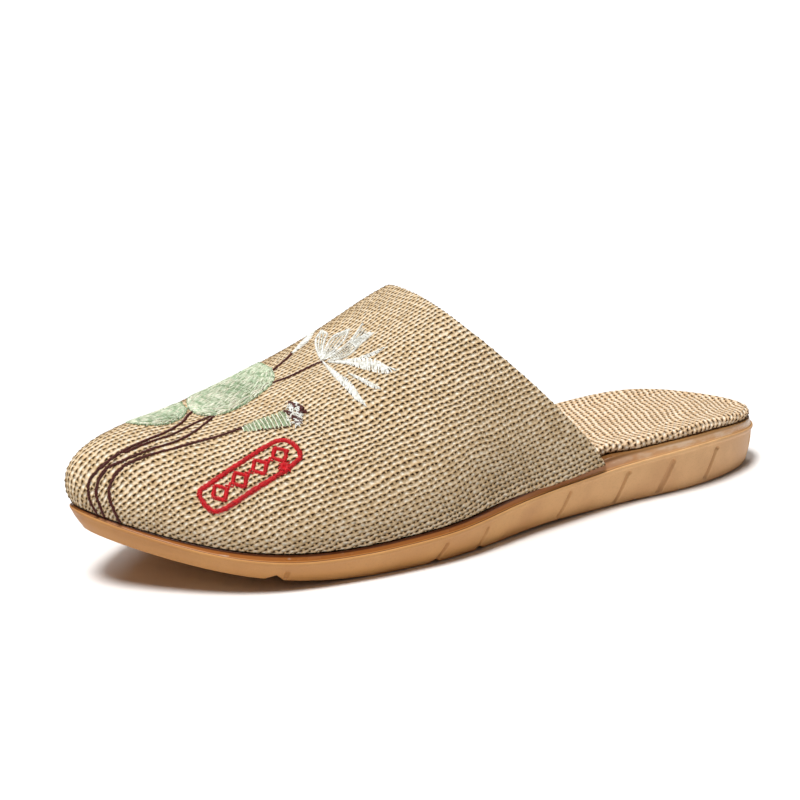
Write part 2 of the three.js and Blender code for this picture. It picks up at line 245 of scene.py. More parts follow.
@dataclass(frozen=True)
class VampShape:
    """The closed toe's shape: ribs that lean from the sole's edge to a ridge and fan out round the toe."""

    last: Last = field(default_factory=Last)
    height: float = 72.2
    wall: float = 2.4
    foot_inset: float = 2.0
    gap: float = 0.3
    ridge_shift: float = 3.8
    bulge: float = 2.7
    side_power: float = 0.606
    rise_power: float = 0.866
    toe_foot_inset: float = 1.35
    toe_bulge: float = 3.0
    toe_side_power: float = 0.897
    toe_rise_power: float = 0.842
    collar_top: float = 0.518
    collar_foot: float = 0.306
    collar_sweep: float = 1.226
    toe_start: float = 0.793
    measured_sweep: float = 0.7
    measured_points: int = 2001
    ridge_table: Table = (
        (0.3, 0.993), (0.42, 1.0), (0.52, 0.940), (0.62, 0.783), (0.72, 0.651), (0.82, 0.526),
        (0.91, 0.5), (1.0, 0.468),
    )

    def surface(self, sweep: Array, rise: Array, side: int, inset: float) -> Array:
        """Returns points of the vamp's surface.

        Args:
            sweep: 0 at the collar, 1 where the toe starts, 2 at the tip of the toe.
            rise: 0 at the foot, pi / 2 at the ridge.
            side: -1 for the outer, 1 for the inner.
            inset: How far the surface is moved inwards.

        Returns:
            Points, one row each.
        """
        last = self.last
        straight = np.clip(sweep, 0, 1)
        fan = np.sin(np.clip(sweep - 1, 0, 1) * math.pi / 2)
        lean = (1 - np.sin(rise)) ** self.collar_sweep
        collar = self.collar_top + (self.collar_foot - self.collar_top) * lean
        station = collar + (self.toe_start - collar) * straight
        foot_station = np.where(sweep > 1, self.toe_start + (1 - self.toe_start) * fan, station)
        side_power = self.side_power + (self.toe_side_power - self.side_power) * fan**1.5
        rise_power = self.rise_power + (self.toe_rise_power - self.rise_power) * fan
        turn = np.arccos(np.clip(1 - 2 * foot_station, -1, 1))
        foot_inset = self.foot_inset + (self.toe_foot_inset - self.foot_inset) * fan**2
        foot = last.outline(turn, side, foot_inset + inset)
        ridge = np.stack([last.length * (0.5 - station), self.ridge_shift + 0 * station], -1)
        top = rise > math.pi / 2 - TINY
        reach = np.where(top, 0.0, np.clip(np.cos(rise), 1e-12, 1) ** side_power)
        lift = np.where(top, 1.0, np.clip(np.sin(rise), 0, 1) ** rise_power)
        span = np.linalg.norm(foot - ridge, axis=-1)
        swell = (self.bulge + (self.toe_bulge - self.bulge) * fan**1.5) * np.sin(math.pi * lift**0.6)
        plan = ridge + (foot - ridge) * (reach * (1 + swell / span))[..., None]
        along = last.station(plan[..., 0])
        height = self.height * through(self.ridge_table, 1, along) - inset
        z = last.top_height(along) + self.gap + height * lift
        return np.concatenate([plan, z[..., None]], -1)

    def rib(self) -> tuple[Array, Array]:
        """Measures one rib from the foot to the ridge.

        Returns:
            Rises, and the share of the rib's length that lies below each of them.
        """
        rises = np.linspace(0, math.pi / 2, self.measured_points)
        sweeps = np.full(self.measured_points, self.measured_sweep)
        length = run_lengths(self.surface(sweeps, rises, -1, 0.0))
        return rises, length / length[-1]


class Flattening:
    """The vamp's surface laid flat, as the cloth was before it was lasted: chart coordinates in millimetres.

    The first coordinate runs from the collar to the toe along the ridge, the second across it, negative on
    the outer side.
    """

    rounds = 30
    least_weight = -5
    most_weight = 20
    guess_slope = math.radians(18)

    def __init__(
        self, shape: VampShape, vamp_steps: int = 26, toe_steps: int = 14, rise_steps: int = 22
    ) -> None:
        """Lays the surface flat on a coarse net.

        Args:
            shape: The vamp.
            vamp_steps: Net columns from the collar to the toe's start.
            toe_steps: Net columns round one side of the toe.
            rise_steps: Net rows from the foot to the ridge.
        """
        self.sweeps = sweep_steps(vamp_steps, toe_steps)
        self.shape = shape
        self._fine, self._share = shape.rib()
        self.rises = np.interp(np.linspace(0, 1, rise_steps + 1), self._share, self._fine)
        rise, sweep = np.meshgrid(self.rises, self.sweeps, indexing="ij")
        nets = [shape.surface(sweep, rise, side, 0.0) for side in (-1, 1)]
        self.points, self.index = self._shared(nets)
        self.triangles = self._triangles()
        self.normals = self._outward()
        self.chart = self._relaxed(self._first_guess(nets))
        spots = np.column_stack([self.chart, np.zeros(len(self.chart))])
        self._tree = BVHTree.FromPolygons(spots.tolist(), self.triangles.tolist())

    def _shared(self, nets: list[Array]) -> tuple[Array, Array]:
        """Gives the two sides' nets one numbering in which the points on the ridge are shared.

        Args:
            nets: The outer side's net and the inner side's.

        Returns:
            The points, and their numbers by side, row and column.
        """
        numbers: dict[tuple[float, ...], int] = {}
        points: list[Array] = []
        index = np.zeros((2,) + nets[0].shape[:2], int)
        for side, net in enumerate(nets):
            for spot in np.ndindex(*net.shape[:2]):
                key = tuple(np.round(net[spot], 3) + 0.0)
                if key not in numbers:
                    numbers[key] = len(points)
                    points.append(net[spot])
                index[(side,) + spot] = numbers[key]
        return np.array(points), index

    def _triangles(self) -> Array:
        """Returns the net's triangles, without those that have no area at the toe's pole.

        Each triangle's side and its corners' places on the net are kept beside them.

        Returns:
            Three corner numbers per triangle.
        """
        found, places, sides = [], [], []
        grid = np.meshgrid(np.arange(len(self.rises)), np.arange(len(self.sweeps)), indexing="ij")
        place = np.stack(grid, -1)
        for side in (0, 1):
            halves = ((0, 1, 2), (0, 2, 3)) if side == 0 else ((0, 2, 1), (0, 3, 2))
            numbers = [corner.ravel() for corner in quad_corners(self.index[side])]
            spots = [corner.reshape(-1, 2) for corner in quad_corners(place)]
            found += [np.stack([numbers[k] for k in half], -1) for half in halves]
            places += [np.stack([spots[k] for k in half], 1) for half in halves]
            sides += [np.full(2 * len(numbers[0]), 2 * side - 1)]
        corners = np.concatenate(found)
        whole = np.all(corners != np.roll(corners, 1, axis=1), axis=1)
        self.places = np.concatenate(places)[whole].astype(float)
        self.sides = np.concatenate(sides)[whole]
        return corners[whole]

    def _first_guess(self, nets: list[Array]) -> Array:
        """Lays the nets out roughly, from lengths along the ridge and down the ribs.

        Args:
            nets: The outer side's net and the inner side's.

        Returns:
            A chart point per point.
        """
        chart = np.zeros((len(self.points), 2))
        ridge = nets[0][-1]
        run = np.array([-math.cos(self.guess_slope), 0.0, -math.sin(self.guess_slope)])
        for side, net in enumerate(nets):
            steps = np.linalg.norm(np.diff(net, axis=0), axis=-1)
            down = np.concatenate([np.cumsum(steps[::-1], axis=0)[::-1], np.zeros((1, net.shape[1]))])
            fan = np.clip(self.sweeps - 1, 0, 1) * math.pi / 2
            straight = (net - ridge[0]) @ run
            at_pole = (ridge - ridge[0]) @ run
            along = np.where(self.sweeps > 1, at_pole + np.sin(fan) * down, straight)
            across = (-1 if side == 0 else 1) * np.cos(fan) * down
            chart[self.index[side].ravel()] = np.stack([along, across], -1).reshape(-1, 2)
        return chart

    def _relaxed(self, chart: Array) -> Array:
        """Relaxes a flat layout until each triangle keeps its size and shape as nearly as it can.

        Args:
            chart: The layout to start from.

        Returns:
            The relaxed layout, with the ridge along its first axis.
        """
        tri = self.triangles
        first = self.points[tri[:, 1]] - self.points[tri[:, 0]]
        second = self.points[tri[:, 2]] - self.points[tri[:, 0]]
        base = np.linalg.norm(first, axis=1)
        reach = np.einsum("ij,ij->i", second, first) / base
        rise = np.sqrt(np.clip(np.einsum("ij,ij->i", second, second) - reach**2, 0, None))
        flat = np.zeros((len(tri), 3, 2))
        flat[:, 1, 0] = base
        flat[:, 2] = np.stack([reach, rise], 1)
        weights = np.zeros((len(tri), 3))
        for k in range(3):
            a = flat[:, (k + 1) % 3] - flat[:, k]
            b = flat[:, (k + 2) % 3] - flat[:, k]
            turn = np.abs(a[:, 0] * b[:, 1] - a[:, 1] * b[:, 0])
            slant = np.einsum("ij,ij->i", a, b) / turn
            weights[:, k] = np.clip(slant, self.least_weight, self.most_weight)
        count = len(self.points)
        stiffness = np.full((count, count), 1 / count)
        for k in range(3):
            i, j = tri[:, (k + 1) % 3], tri[:, (k + 2) % 3]
            for row, column, sign in ((i, j, -1), (j, i, -1), (i, i, 1), (j, j, 1)):
                np.add.at(stiffness, (row, column), sign * weights[:, k])
        solver = np.linalg.inv(stiffness)
        for _ in range(self.rounds):
            fit = np.zeros((len(tri), 2, 2))
            for k in range(3):
                i, j = (k + 1) % 3, (k + 2) % 3
                now = chart[tri[:, i]] - chart[tri[:, j]]
                fit += weights[:, k, None, None] * now[:, :, None] * (flat[:, i] - flat[:, j])[:, None, :]
            left, _, right = np.linalg.svd(fit)
            left[:, :, 1] *= np.sign(np.linalg.det(left @ right))[:, None]
            turn = left @ right
            pull = np.zeros((count, 2))
            for k in range(3):
                i, j = (k + 1) % 3, (k + 2) % 3
                force = weights[:, k, None] * np.einsum("tab,tb->ta", turn, flat[:, i] - flat[:, j])
                np.add.at(pull, tri[:, i], force)
                np.add.at(pull, tri[:, j], -force)
            chart = solver @ pull
        ridge = chart[self.index[0, -1]]
        run = ridge[-1] - ridge[0]
        run /= np.linalg.norm(run)
        return (chart - ridge[0]) @ np.array([[run[0], -run[1]], [run[1], run[0]]])

    def at(self, sweep: Array, rise: Array, side: int) -> Array:
        """Returns the chart coordinates of points given by sweep and rise.

        Args:
            sweep: 0 at the collar to 2 at the toe's tip.
            rise: 0 at the foot to pi / 2 at the ridge.
            side: -1 for the outer, 1 for the inner.

        Returns:
            Chart coordinates, one row each.
        """
        net = self.chart[self.index[0 if side < 0 else 1]]
        share = np.interp(rise, self._fine, self._share)
        last_row, last_column = len(self.rises) - 1, len(self.sweeps) - 1
        row = np.clip(share * last_row, 0, last_row - TINY)
        column = np.interp(sweep, self.sweeps, np.arange(last_column + 1))
        column = np.clip(column, 0, last_column - TINY)
        i, j = row.astype(int), column.astype(int)
        s, t = (row - i)[..., None], (column - j)[..., None]
        low = net[i, j] * (1 - t) + net[i, j + 1] * t
        high = net[i + 1, j] * (1 - t) + net[i + 1, j + 1] * t
        return low * (1 - s) + high * s

    def lift(self, chart: Array, height: Array) -> Array:
        """Puts points of the chart back on the slipper, at heights above the cloth.

        Args:
            chart: Chart coordinates, one row each.
            height: Heights above the surface.

        Returns:
            Points in millimetres; rows of nan where the chart point is off the cloth.
        """
        found = np.full((len(chart), 3), np.nan)
        rows, faces, shares = [], [], []
        for n, (along, across) in enumerate(chart.tolist()):
            _, _, face, _ = self._tree.ray_cast(Vector((along, across, 1.0)), Vector((0.0, 0.0, -1.0)))
            if face is None:
                continue
            a, b, c = self.chart[self.triangles[face]]
            area = (b[0] - a[0]) * (c[1] - a[1]) - (b[1] - a[1]) * (c[0] - a[0])
            second = ((along - a[0]) * (c[1] - a[1]) - (across - a[1]) * (c[0] - a[0])) / area
            third = ((b[0] - a[0]) * (across - a[1]) - (b[1] - a[1]) * (along - a[0])) / area
            rows.append(n)
            faces.append(face)
            shares.append((1 - second - third, second, third))
        share, face = np.array(shares), np.array(faces)
        place = np.einsum("nk,nkd->nd", share, self.places[face])
        rise = np.interp(place[:, 0] / (len(self.rises) - 1), self._share, self._fine)
        sweep = np.interp(place[:, 1], np.arange(len(self.sweeps)), self.sweeps)
        normal = np.einsum("nk,nkd->nd", share, self.normals[self.triangles[face]])
        spots = np.empty((len(rows), 3))
        for side in (-1, 1):
            here = self.sides[face] == side
            spots[here] = self.shape.surface(sweep[here], rise[here], side, 0.0)
        found[rows] = spots + height[rows, None] * normal
        return found

    def _outward(self) -> Array:
        """Works out the outward normals of the net's points.

        Returns:
            A unit normal per point.
        """
        a, b, c = (self.points[self.triangles[:, k]] for k in range(3))
        face = np.cross(b - a, c - a)
        total = np.zeros_like(self.points)
        for k in range(3):
            np.add.at(total, self.triangles[:, k], face)
        total /= np.linalg.norm(total, axis=1, keepdims=True)
        foot = self.points.mean(0) * np.array([1.0, 1.0, 0.0])
        outwards = np.einsum("ij,ij->i", total, self.points - foot).mean()
        return total if outwards > 0 else -total


class NodeSheet:
    """Places nodes in a tree and joins their sockets."""

    def __init__(self, tree: NodeTree) -> None:
        """Starts on a tree."""
        self.tree = tree

    def put(self, value: object, socket: NodeSocket) -> None:
        """Feeds a socket from another socket, or sets its own value.

        Args:
            value: A socket to link, or a number, vector or colour.
            socket: The input socket.
        """
        if isinstance(value, NodeSocket):
            self.tree.links.new(value, socket)
        else:
            socket.default_value = value

    def add(
        self, kind: str, inputs: dict[str | int, object] | None = None, **settings: object
    ) -> Node:
        """Adds one node.

        Args:
            kind: The node's type name.
            inputs: Values or sockets for its inputs, by name or number.
            **settings: Attributes of the node.

        Returns:
            The node.
        """
        node = self.tree.nodes.new(kind)
        for name, value in settings.items():
            setattr(node, name, value)
        for name, value in (inputs or {}).items():
            self.put(value, node.inputs[name])
        return node

    def math(
        self, operation: str, first: object, second: object = 0.0, third: object = 0.0
    ) -> NodeSocket:
        """Adds a Math node and returns its output.

        Args:
            operation: The operation's name.
            first: First value or socket.
            second: Second value or socket.
            third: Third value or socket.

        Returns:
            The result's socket.
        """
        node = self.add("ShaderNodeMath", operation=operation)
        for socket, value in zip(node.inputs, (first, second, third)):
            self.put(value, socket)
        return node.outputs[0]

    def noise(
        self, vector: object, scale: object, detail: float = 2.0, roughness: float = 0.5
    ) -> NodeSocket:
        """Adds a Noise node and returns its value, from 0 to 1."""
        values = {"Vector": vector, "Scale": scale, "Detail": detail, "Roughness": roughness}
        return self.add("ShaderNodeTexNoise", values).outputs[0]

    def stretched(self, vector: object, scale: tuple[float, float, float]) -> NodeSocket:
        """Returns a vector multiplied by a scale on each axis."""
        return self.add("ShaderNodeVectorMath", {0: vector, 1: scale}, operation="MULTIPLY").outputs[0]

    def turned(self, vector: object, angle: float) -> NodeSocket:
        """Returns a vector turned about Z by an angle in radians."""
        values = {"Vector": vector, "Rotation": (0.0, 0.0, angle)}
        return self.add("ShaderNodeMapping", values).outputs[0]

    def span(
        self, value: object, low: float, high: float, to_low: float = 0.0, to_high: float = 1.0
    ) -> NodeSocket:
        """Maps a range of a value smoothly to another range."""
        values = {0: value, 1: low, 2: high, 3: to_low, 4: to_high}
        return self.add("ShaderNodeMapRange", values, interpolation_type="SMOOTHSTEP").outputs[0]

    def blend(self, share: object, first: object, second: object, way: str = "MIX") -> NodeSocket:
        """Mixes two colours."""
        values = {0: share, 6: first, 7: second}
        return self.add("ShaderNodeMix", values, data_type="RGBA", blend_type=way).outputs[2]

    def bump(
        self, height: object, strength: float, distance: float, normal: object = None
    ) -> NodeSocket:
        """Adds a Bump node.

        Args:
            height: The height's socket.
            strength: The bump's strength.
            distance: Its depth in metres.
            normal: Another bump's socket to build on.

        Returns:
            The normal's socket.
        """
        node = self.add("ShaderNodeBump", {"Height": height, "Strength": strength, "Distance": distance})
        if normal is not None:
            self.put(normal, node.inputs["Normal"])
        return node.outputs[0]

    def group(self, tree: NodeTree, values: dict[str, object]) -> Node:
        """Places a node group and feeds its inputs by name."""
        return self.add("ShaderNodeGroup", values, node_tree=tree)


def new_group(
    name: str, inputs: dict[str, tuple[str, float | None]], outputs: tuple[str, ...]
) -> tuple[NodeSheet, Node, Node]:
    """Makes an empty shader node group whose outputs are numbers.

    Args:
        name: The group's name.
        inputs: Socket kinds and defaults by name.
        outputs: Socket names.

    Returns:
        The sheet for its nodes, its input node and its output node.
    """
    tree = bpy.data.node_groups.new(name, "ShaderNodeTree")
    for socket, (kind, default) in inputs.items():
        made = tree.interface.new_socket(socket, in_out="INPUT", socket_type=kind)
        if default is not None:
            made.default_value = default
    for socket in outputs:
        tree.interface.new_socket(socket, in_out="OUTPUT", socket_type=NUMBER)
    sheet = NodeSheet(tree)
    return sheet, tree.nodes.new("NodeGroupInput"), tree.nodes.new("NodeGroupOutput")


# Shares of a plain weave's height that its relief and its shader have in common
ROUNDNESS = 0.58
RIB_RISE = 0.12
RIB_PINCH = 0.13
YARN_LEVEL = 0.62
YARN_DIP = 0.08


def plain_weave_group() -> NodeTree:
    """Makes the group for a plain weave: thick ribs along U, over and under thinner yarns along V.

    Returns:
        The group; its Vector counts yarns, its outputs run from 0 to 1.
    """
    kinds = {
        "Vector": (VECTOR, None),
        "Rib Width": (NUMBER, 0.6),
        "Yarn Width": (NUMBER, 0.4),
        "Rib Weight": (NUMBER, 0.8),
        "Sway": (NUMBER, 0.12),
    }
    sheet, given, result = new_group("plain weave", kinds, ("Height", "Painted Highlight", "Tone"))
    moved = given.outputs["Vector"]
    axes = sheet.add("ShaderNodeSeparateXYZ", {0: moved})
    u, v = axes.outputs[0], axes.outputs[1]
    row, column = sheet.math("FLOOR", v), sheet.math("FLOOR", u)
    waves = []
    for value, strip in ((u, row), (v, column)):
        place = sheet.math("ADD", sheet.math("SUBTRACT", value, 0.5), strip)
        waves.append(sheet.math("COSINE", sheet.math("MULTIPLY", place, math.pi)))
    wave, under = waves
    beads = sheet.math("COSINE", sheet.math("MULTIPLY", u, math.tau))
    swing = sheet.math("MULTIPLY", wave, given.outputs["Sway"])
    profiles = []
    for value, width, shift in ((v, "Rib Width", swing), (u, "Yarn Width", 0.0)):
        away = sheet.math("SUBTRACT", sheet.math("SUBTRACT", sheet.math("FRACT", value), 0.5), shift)
        off = sheet.math("DIVIDE", away, given.outputs[width])
        inside = sheet.math("SUBTRACT", 1.0, sheet.math("MULTIPLY", off, off))
        profiles.append(sheet.math("POWER", sheet.math("MAXIMUM", inside, 0.0), ROUNDNESS))
    rib_level = sheet.math("MULTIPLY_ADD", wave, RIB_RISE, given.outputs["Rib Weight"])
    rib_level = sheet.math("MULTIPLY_ADD", beads, -RIB_PINCH, rib_level)
    yarn_level = sheet.math("MULTIPLY_ADD", under, -YARN_DIP, YARN_LEVEL)
    rib = sheet.math("MULTIPLY", profiles[0], rib_level)
    yarn = sheet.math("MULTIPLY", profiles[1], yarn_level)
    sheet.put(sheet.math("MAXIMUM", rib, yarn), result.inputs["Height"])
    # Painted highlight: the crests' lighter colour, brightest at the nodes where ribs lie over yarns
    crest = sheet.span(profiles[0], 0.74, 0.98)
    for lit in (sheet.span(beads, 1.6, -0.8), sheet.span(wave, -2.2, 0.8)):
        crest = sheet.math("MULTIPLY", crest, lit)
    sheet.put(crest, result.inputs["Painted Highlight"])
    along_rib, along_yarn = (
        sheet.noise(sheet.stretched(moved, scale), 1.1, 1.0)
        for scale in ((0.12, 1.0, 1.0), (1.0, 0.12, 1.0))
    )
    both = sheet.math("ADD", along_rib, along_yarn)
    sheet.put(sheet.math("MULTIPLY", both, 0.5), result.inputs["Tone"])
    return sheet.tree


def fibre_group() -> NodeTree:
    """Makes the group for fine fibres on yarn: fluff and slubs, from 0 to 1.

    Returns:
        The group.
    """
    kinds = {"Vector": (VECTOR, None)}
    sheet, given, result = new_group("yarn fibres", kinds, ("Height",))
    slanted = sheet.turned(given.outputs["Vector"], 0.6)
    strands = sheet.noise(sheet.stretched(slanted, (1.0, 4.0, 1.0)), 3.2, 3.0, 0.6)
    fluff = sheet.noise(given.outputs["Vector"], 14.0, 2.0, 0.6)
    both = sheet.math("MULTIPLY_ADD", fluff, 0.35, sheet.math("MULTIPLY", strands, 0.65))
    sheet.put(both, result.inputs["Height"])
    return sheet.tree


def grain_group() -> NodeTree:
    """Makes the group for a moulded surface's fine grain and faint blotches.

    Returns:
        The group; Grain and Blotch run from 0 to 1.
    """
    kinds = {"Vector": (VECTOR, None), "Grain Scale": (NUMBER, 1400.0), "Blotch Scale": (NUMBER, 60.0)}
    sheet, given, result = new_group("moulded grain", kinds, ("Grain", "Blotch"))
    for name, detail in (("Grain", 2.0), ("Blotch", 3.0)):
        value = sheet.noise(given.outputs["Vector"], given.outputs[f"{name} Scale"], detail)
        sheet.put(value, result.inputs[name])
    return sheet.tree


@dataclass
class Workshop:
    """The node groups that the finishes share."""

    weave: NodeTree = field(default_factory=plain_weave_group)
    fibres: NodeTree = field(default_factory=fibre_group)
    grain: NodeTree = field(default_factory=grain_group)


def new_material(
    name: str, roughness: float, **constants: object
) -> tuple[Material, NodeSheet, Node]:
    """Makes a material with one Principled shader.

    Args:
        name: The material's name.
        roughness: The shader's roughness.
        **constants: Other socket values; underscores stand for spaces.

    Returns:
        The material, a sheet for its nodes and the shader node.
    """
    material = bpy.data.materials.new(name)
    material.use_nodes = True
    shader = material.node_tree.nodes["Principled BSDF"]
    shader.inputs["Roughness"].default_value = roughness
    for socket, value in constants.items():
        shader.inputs[socket.replace("_", " ")].default_value = value
    return material, NodeSheet(material.node_tree), shader


@dataclass(frozen=True)
class WovenFinish:
    """A coarse woven cloth, drawn from the UV map of its piece, which counts yarns, with a painted highlight
    on the rib crests and painted shade on the flanks and between the yarns.
    """

    name: str
    # Painted highlight colour on the rib crests
    light: str
    body: str
    # Painted shade colour for the rib flanks and the fibres' hollows
    shade: str
    # Painted shade colour between the yarns
    gap: str
    rib_width: float = 0.46
    yarn_width: float = 0.29
    rib_weight: float = 0.8
    sway: float = 0.08
    depth: float = 1.5
    # Heights over which the painted shade between the yarns gives way to the yarns
    gap_shade_low: float = 0.22
    gap_shade_high: float = 0.48
    # Heights and share of the painted shade on the rib flanks
    flank_shade_low: float = 0.4
    flank_shade_high: float = 0.68
    flank_shade_share: float = 0.7
    tone_span: float = 0.22
    fibre_shade_share: float = 0.35
    fibre_depth: float = 0.12
    fuzz: str = "f0d4a8"

    def material(self, shop: Workshop) -> Material:
        """Makes the cloth's material.

        Args:
            shop: The shared node groups.

        Returns:
            The material.
        """
        constants = {"Sheen_Weight": 0.22, "Sheen_Tint": linear(self.fuzz), "Specular_IOR_Level": 0.15}
        made, sheet, shader = new_material(self.name, 0.9, **constants)
        yarns = sheet.add("ShaderNodeUVMap", uv_map="yarns").outputs[0]
        sizes = {
            "Vector": yarns,
            "Rib Width": self.rib_width,
            "Yarn Width": self.yarn_width,
            "Rib Weight": self.rib_weight,
            "Sway": self.sway,
        }
        weave = sheet.group(shop.weave, sizes)
        fibres = sheet.group(shop.fibres, {"Vector": yarns}).outputs[0]
        height = weave.outputs["Height"]
        tone = sheet.span(weave.outputs["Tone"], 0.36, 0.64, -self.tone_span, self.tone_span)
        # Painted highlight: the light colour on the rib crests
        crest = sheet.math("ADD", weave.outputs["Painted Highlight"], tone)
        yarn = sheet.blend(crest, linear(self.body), linear(self.light))
        # Painted shade: the shade colour on the rib flanks and in the fibres' hollows
        flank_shade = sheet.span(height, self.flank_shade_high, self.flank_shade_low, 0.0, self.flank_shade_share)
        hollow_shade = sheet.span(fibres, 0.6, 0.34, 0.0, self.fibre_shade_share)
        for share in (flank_shade, hollow_shade):
            yarn = sheet.blend(share, yarn, linear(self.shade))
        # Painted shade: the gap colour where the weave is low between the yarns
        cover = sheet.span(height, self.gap_shade_low, self.gap_shade_high)
        cover = sheet.math("ADD", cover, sheet.math("MULTIPLY", tone, 0.5))
        sheet.put(sheet.blend(cover, linear(self.gap), yarn), shader.inputs["Base Color"])
        shape = sheet.bump(height, 1.0, self.depth * MM)
        shape = sheet.bump(fibres, 0.5, self.fibre_depth * MM, shape)
        sheet.put(shape, shader.inputs["Normal"])
        return made


@dataclass(frozen=True)
class ThreadFinish:
    """Glossy embroidery thread; its colour comes from the stitches' own colour attribute."""

    name: str = "embroidery_thread"
    dull: str = "dcd8d0"

    def material(self) -> Material:
        """Makes the thread's material.

        Returns:
            The material.
        """
        made, sheet, shader = new_material(self.name, 0.5, Sheen_Weight=0.03, Specular_IOR_Level=0.35)
        colour = sheet.add("ShaderNodeAttribute", attribute_name="thread").outputs["Color"]
        spot = sheet.add("ShaderNodeTexCoord").outputs["Object"]
        tone = sheet.noise(spot, 900.0, 2.0)
        dark = sheet.blend(1.0, colour, linear(self.dull), "MULTIPLY")
        sheet.put(sheet.blend(sheet.span(tone, 0.35, 0.65), dark, colour), shader.inputs["Base Color"])
        sheet.put(sheet.bump(sheet.noise(spot, 5200.0, 1.0), 0.3, 0.05 * MM), shader.inputs["Normal"])
        return made


@dataclass(frozen=True)
class LiningFinish:
    """A plain off-white cotton lining with a fine twill."""

    name: str = "cotton_lining"
    light: str = "efe6d4"
    dark: str = "cfc0a2"
    twill_turn: float = 0.9
    depth: float = 0.12

    def material(self) -> Material:
        """Makes the lining's material.

        Returns:
            The material.
        """
        made, sheet, shader = new_material(self.name, 0.92, Sheen_Weight=0.1, Specular_IOR_Level=0.2)
        yarns = sheet.add("ShaderNodeUVMap", uv_map="yarns").outputs[0]
        lines = {"Vector": sheet.turned(yarns, self.twill_turn), "Scale": 1.1, "Distortion": 0.6}
        twill = sheet.add("ShaderNodeTexWave", lines).outputs["Fac"]
        fine = sheet.noise(yarns, 6.0, 2.0)
        both = sheet.math("MULTIPLY_ADD", fine, 0.5, sheet.math("MULTIPLY", twill, 0.5))
        tone = sheet.blend(sheet.span(both, 0.2, 0.75), linear(self.dark), linear(self.light))
        sheet.put(tone, shader.inputs["Base Color"])
        sheet.put(sheet.bump(both, 0.6, self.depth * MM), shader.inputs["Normal"])
        return made


@dataclass(frozen=True)
class RubberFinish:
    """Moulded tan rubber: a satin wall, and a glossier, browner rim where cement has run and shade is
    painted.

    The rim attribute runs from 0 on the wall over the crease and the rim's band to 1 at the shade below
    the insole. The crease's dark line is painted shade, the top below the insole a painted shadow, and the
    band's darkening towards the insole is partly painted shade under the overhang. Towards the heel the
    crease, the band and the shade are paler.
    """

    name: str = "tan_rubber"
    heel: str = "deb07c"
    middle: str = "d6a164"
    toe: str = "bc854a"
    stain: str = "d8c4b0"
    speck: str = "9a6c44"
    # Painted shade colour inside the dents
    dent: str = "9a6436"
    # Painted shade colours of the crease line, paler towards the heel
    crease: str = "54290e"
    heel_crease_shade: str = "a87c4c"
    # Band colours: cement-stained rubber, the darker one towards the insole partly painted shade
    rim: str = "a8642a"
    rim_foot: str = "c08448"
    heel_rim: str = "d4b494"
    heel_rim_foot: str = "c8986a"
    # Painted shadow colour below the insole at the heel
    heel_shade: str = "b0824e"
    cement: str = "d9c8b4"

    def material(self, shop: Workshop) -> Material:
        """Makes the sole's material.

        Args:
            shop: The shared node groups.

        Returns:
            The material.
        """
        made, sheet, shader = new_material(self.name, 0.5, Specular_IOR_Level=0.4)
        spot = sheet.add("ShaderNodeTexCoord").outputs["Object"]
        rim = sheet.add("ShaderNodeAttribute", attribute_name="rim").outputs["Fac"]
        groove = sheet.add("ShaderNodeAttribute", attribute_name="groove").outputs["Fac"]
        grain = sheet.group(shop.grain, {"Vector": spot, "Grain Scale": 1600.0, "Blotch Scale": 45.0})
        along = sheet.add("ShaderNodeSeparateXYZ", {0: spot}).outputs[0]
        wall = sheet.blend(sheet.span(along, -0.12, -0.05), linear(self.toe), linear(self.middle))
        wall = sheet.blend(sheet.span(along, -0.03, 0.1), wall, linear(self.heel))
        mottled = sheet.blend(0.45, wall, sheet.blend(1.0, wall, linear(self.stain), "MULTIPLY"))
        wall = sheet.blend(sheet.span(grain.outputs["Blotch"], 0.4, 0.65), mottled, wall)
        speckle = sheet.span(grain.outputs["Grain"], 0.3, 0.5, 0.14, 0.0)
        wall = sheet.blend(speckle, wall, linear(self.speck))
        # Painted shade: darker inside the dents, by the groove attribute
        wall = sheet.blend(sheet.math("MULTIPLY", groove, 0.2), wall, linear(self.dent))
        smear = sheet.noise(sheet.stretched(spot, (1.0, 1.0, 3.0)), 110.0, 3.0, 0.6)
        heelward = sheet.span(along, 0.035, 0.085)
        paler = sheet.span(smear, 0.4, 0.62)
        heel_band = sheet.blend(paler, linear(self.heel_rim_foot), linear(self.heel_rim))
        # The band darkens towards the insole: cement colour and painted shade under the overhang
        band = sheet.blend(sheet.span(rim, 0.62, 0.8), linear(self.rim_foot), linear(self.rim))
        band = sheet.blend(sheet.span(smear, 0.62, 0.72, 0.0, 0.7), band, linear(self.cement))
        band = sheet.blend(heelward, band, heel_band)
        # Painted shade: the dark crease line between the wall and the rim's band
        paler = sheet.math("MULTIPLY", heelward, 0.9)
        crease = sheet.blend(paler, linear(self.crease), linear(self.heel_crease_shade))
        edge = sheet.blend(sheet.span(rim, 0.1, 0.45), wall, crease)
        edge = sheet.blend(sheet.span(rim, 0.5, 0.64), edge, band)
        # Painted shadow below the insole: the crease colour at the rim's top, paler towards the heel
        paler = sheet.math("MULTIPLY", heelward, 0.75)
        shade = sheet.blend(paler, linear(self.crease), linear(self.heel_shade))
        sheet.put(sheet.blend(sheet.span(rim, 0.8, 0.96), edge, shade), shader.inputs["Base Color"])
        dull = sheet.span(grain.outputs["Blotch"], 0.3, 0.7, 0.44, 0.6)
        sheet.put(sheet.math("MULTIPLY_ADD", rim, -0.24, dull), shader.inputs["Roughness"])
        fine = sheet.bump(grain.outputs["Grain"], 0.3, 0.12 * MM)
        runs = sheet.math("MULTIPLY", smear, rim)
        sheet.put(sheet.bump(runs, 0.5, 0.5 * MM, fine), shader.inputs["Normal"])
        return made


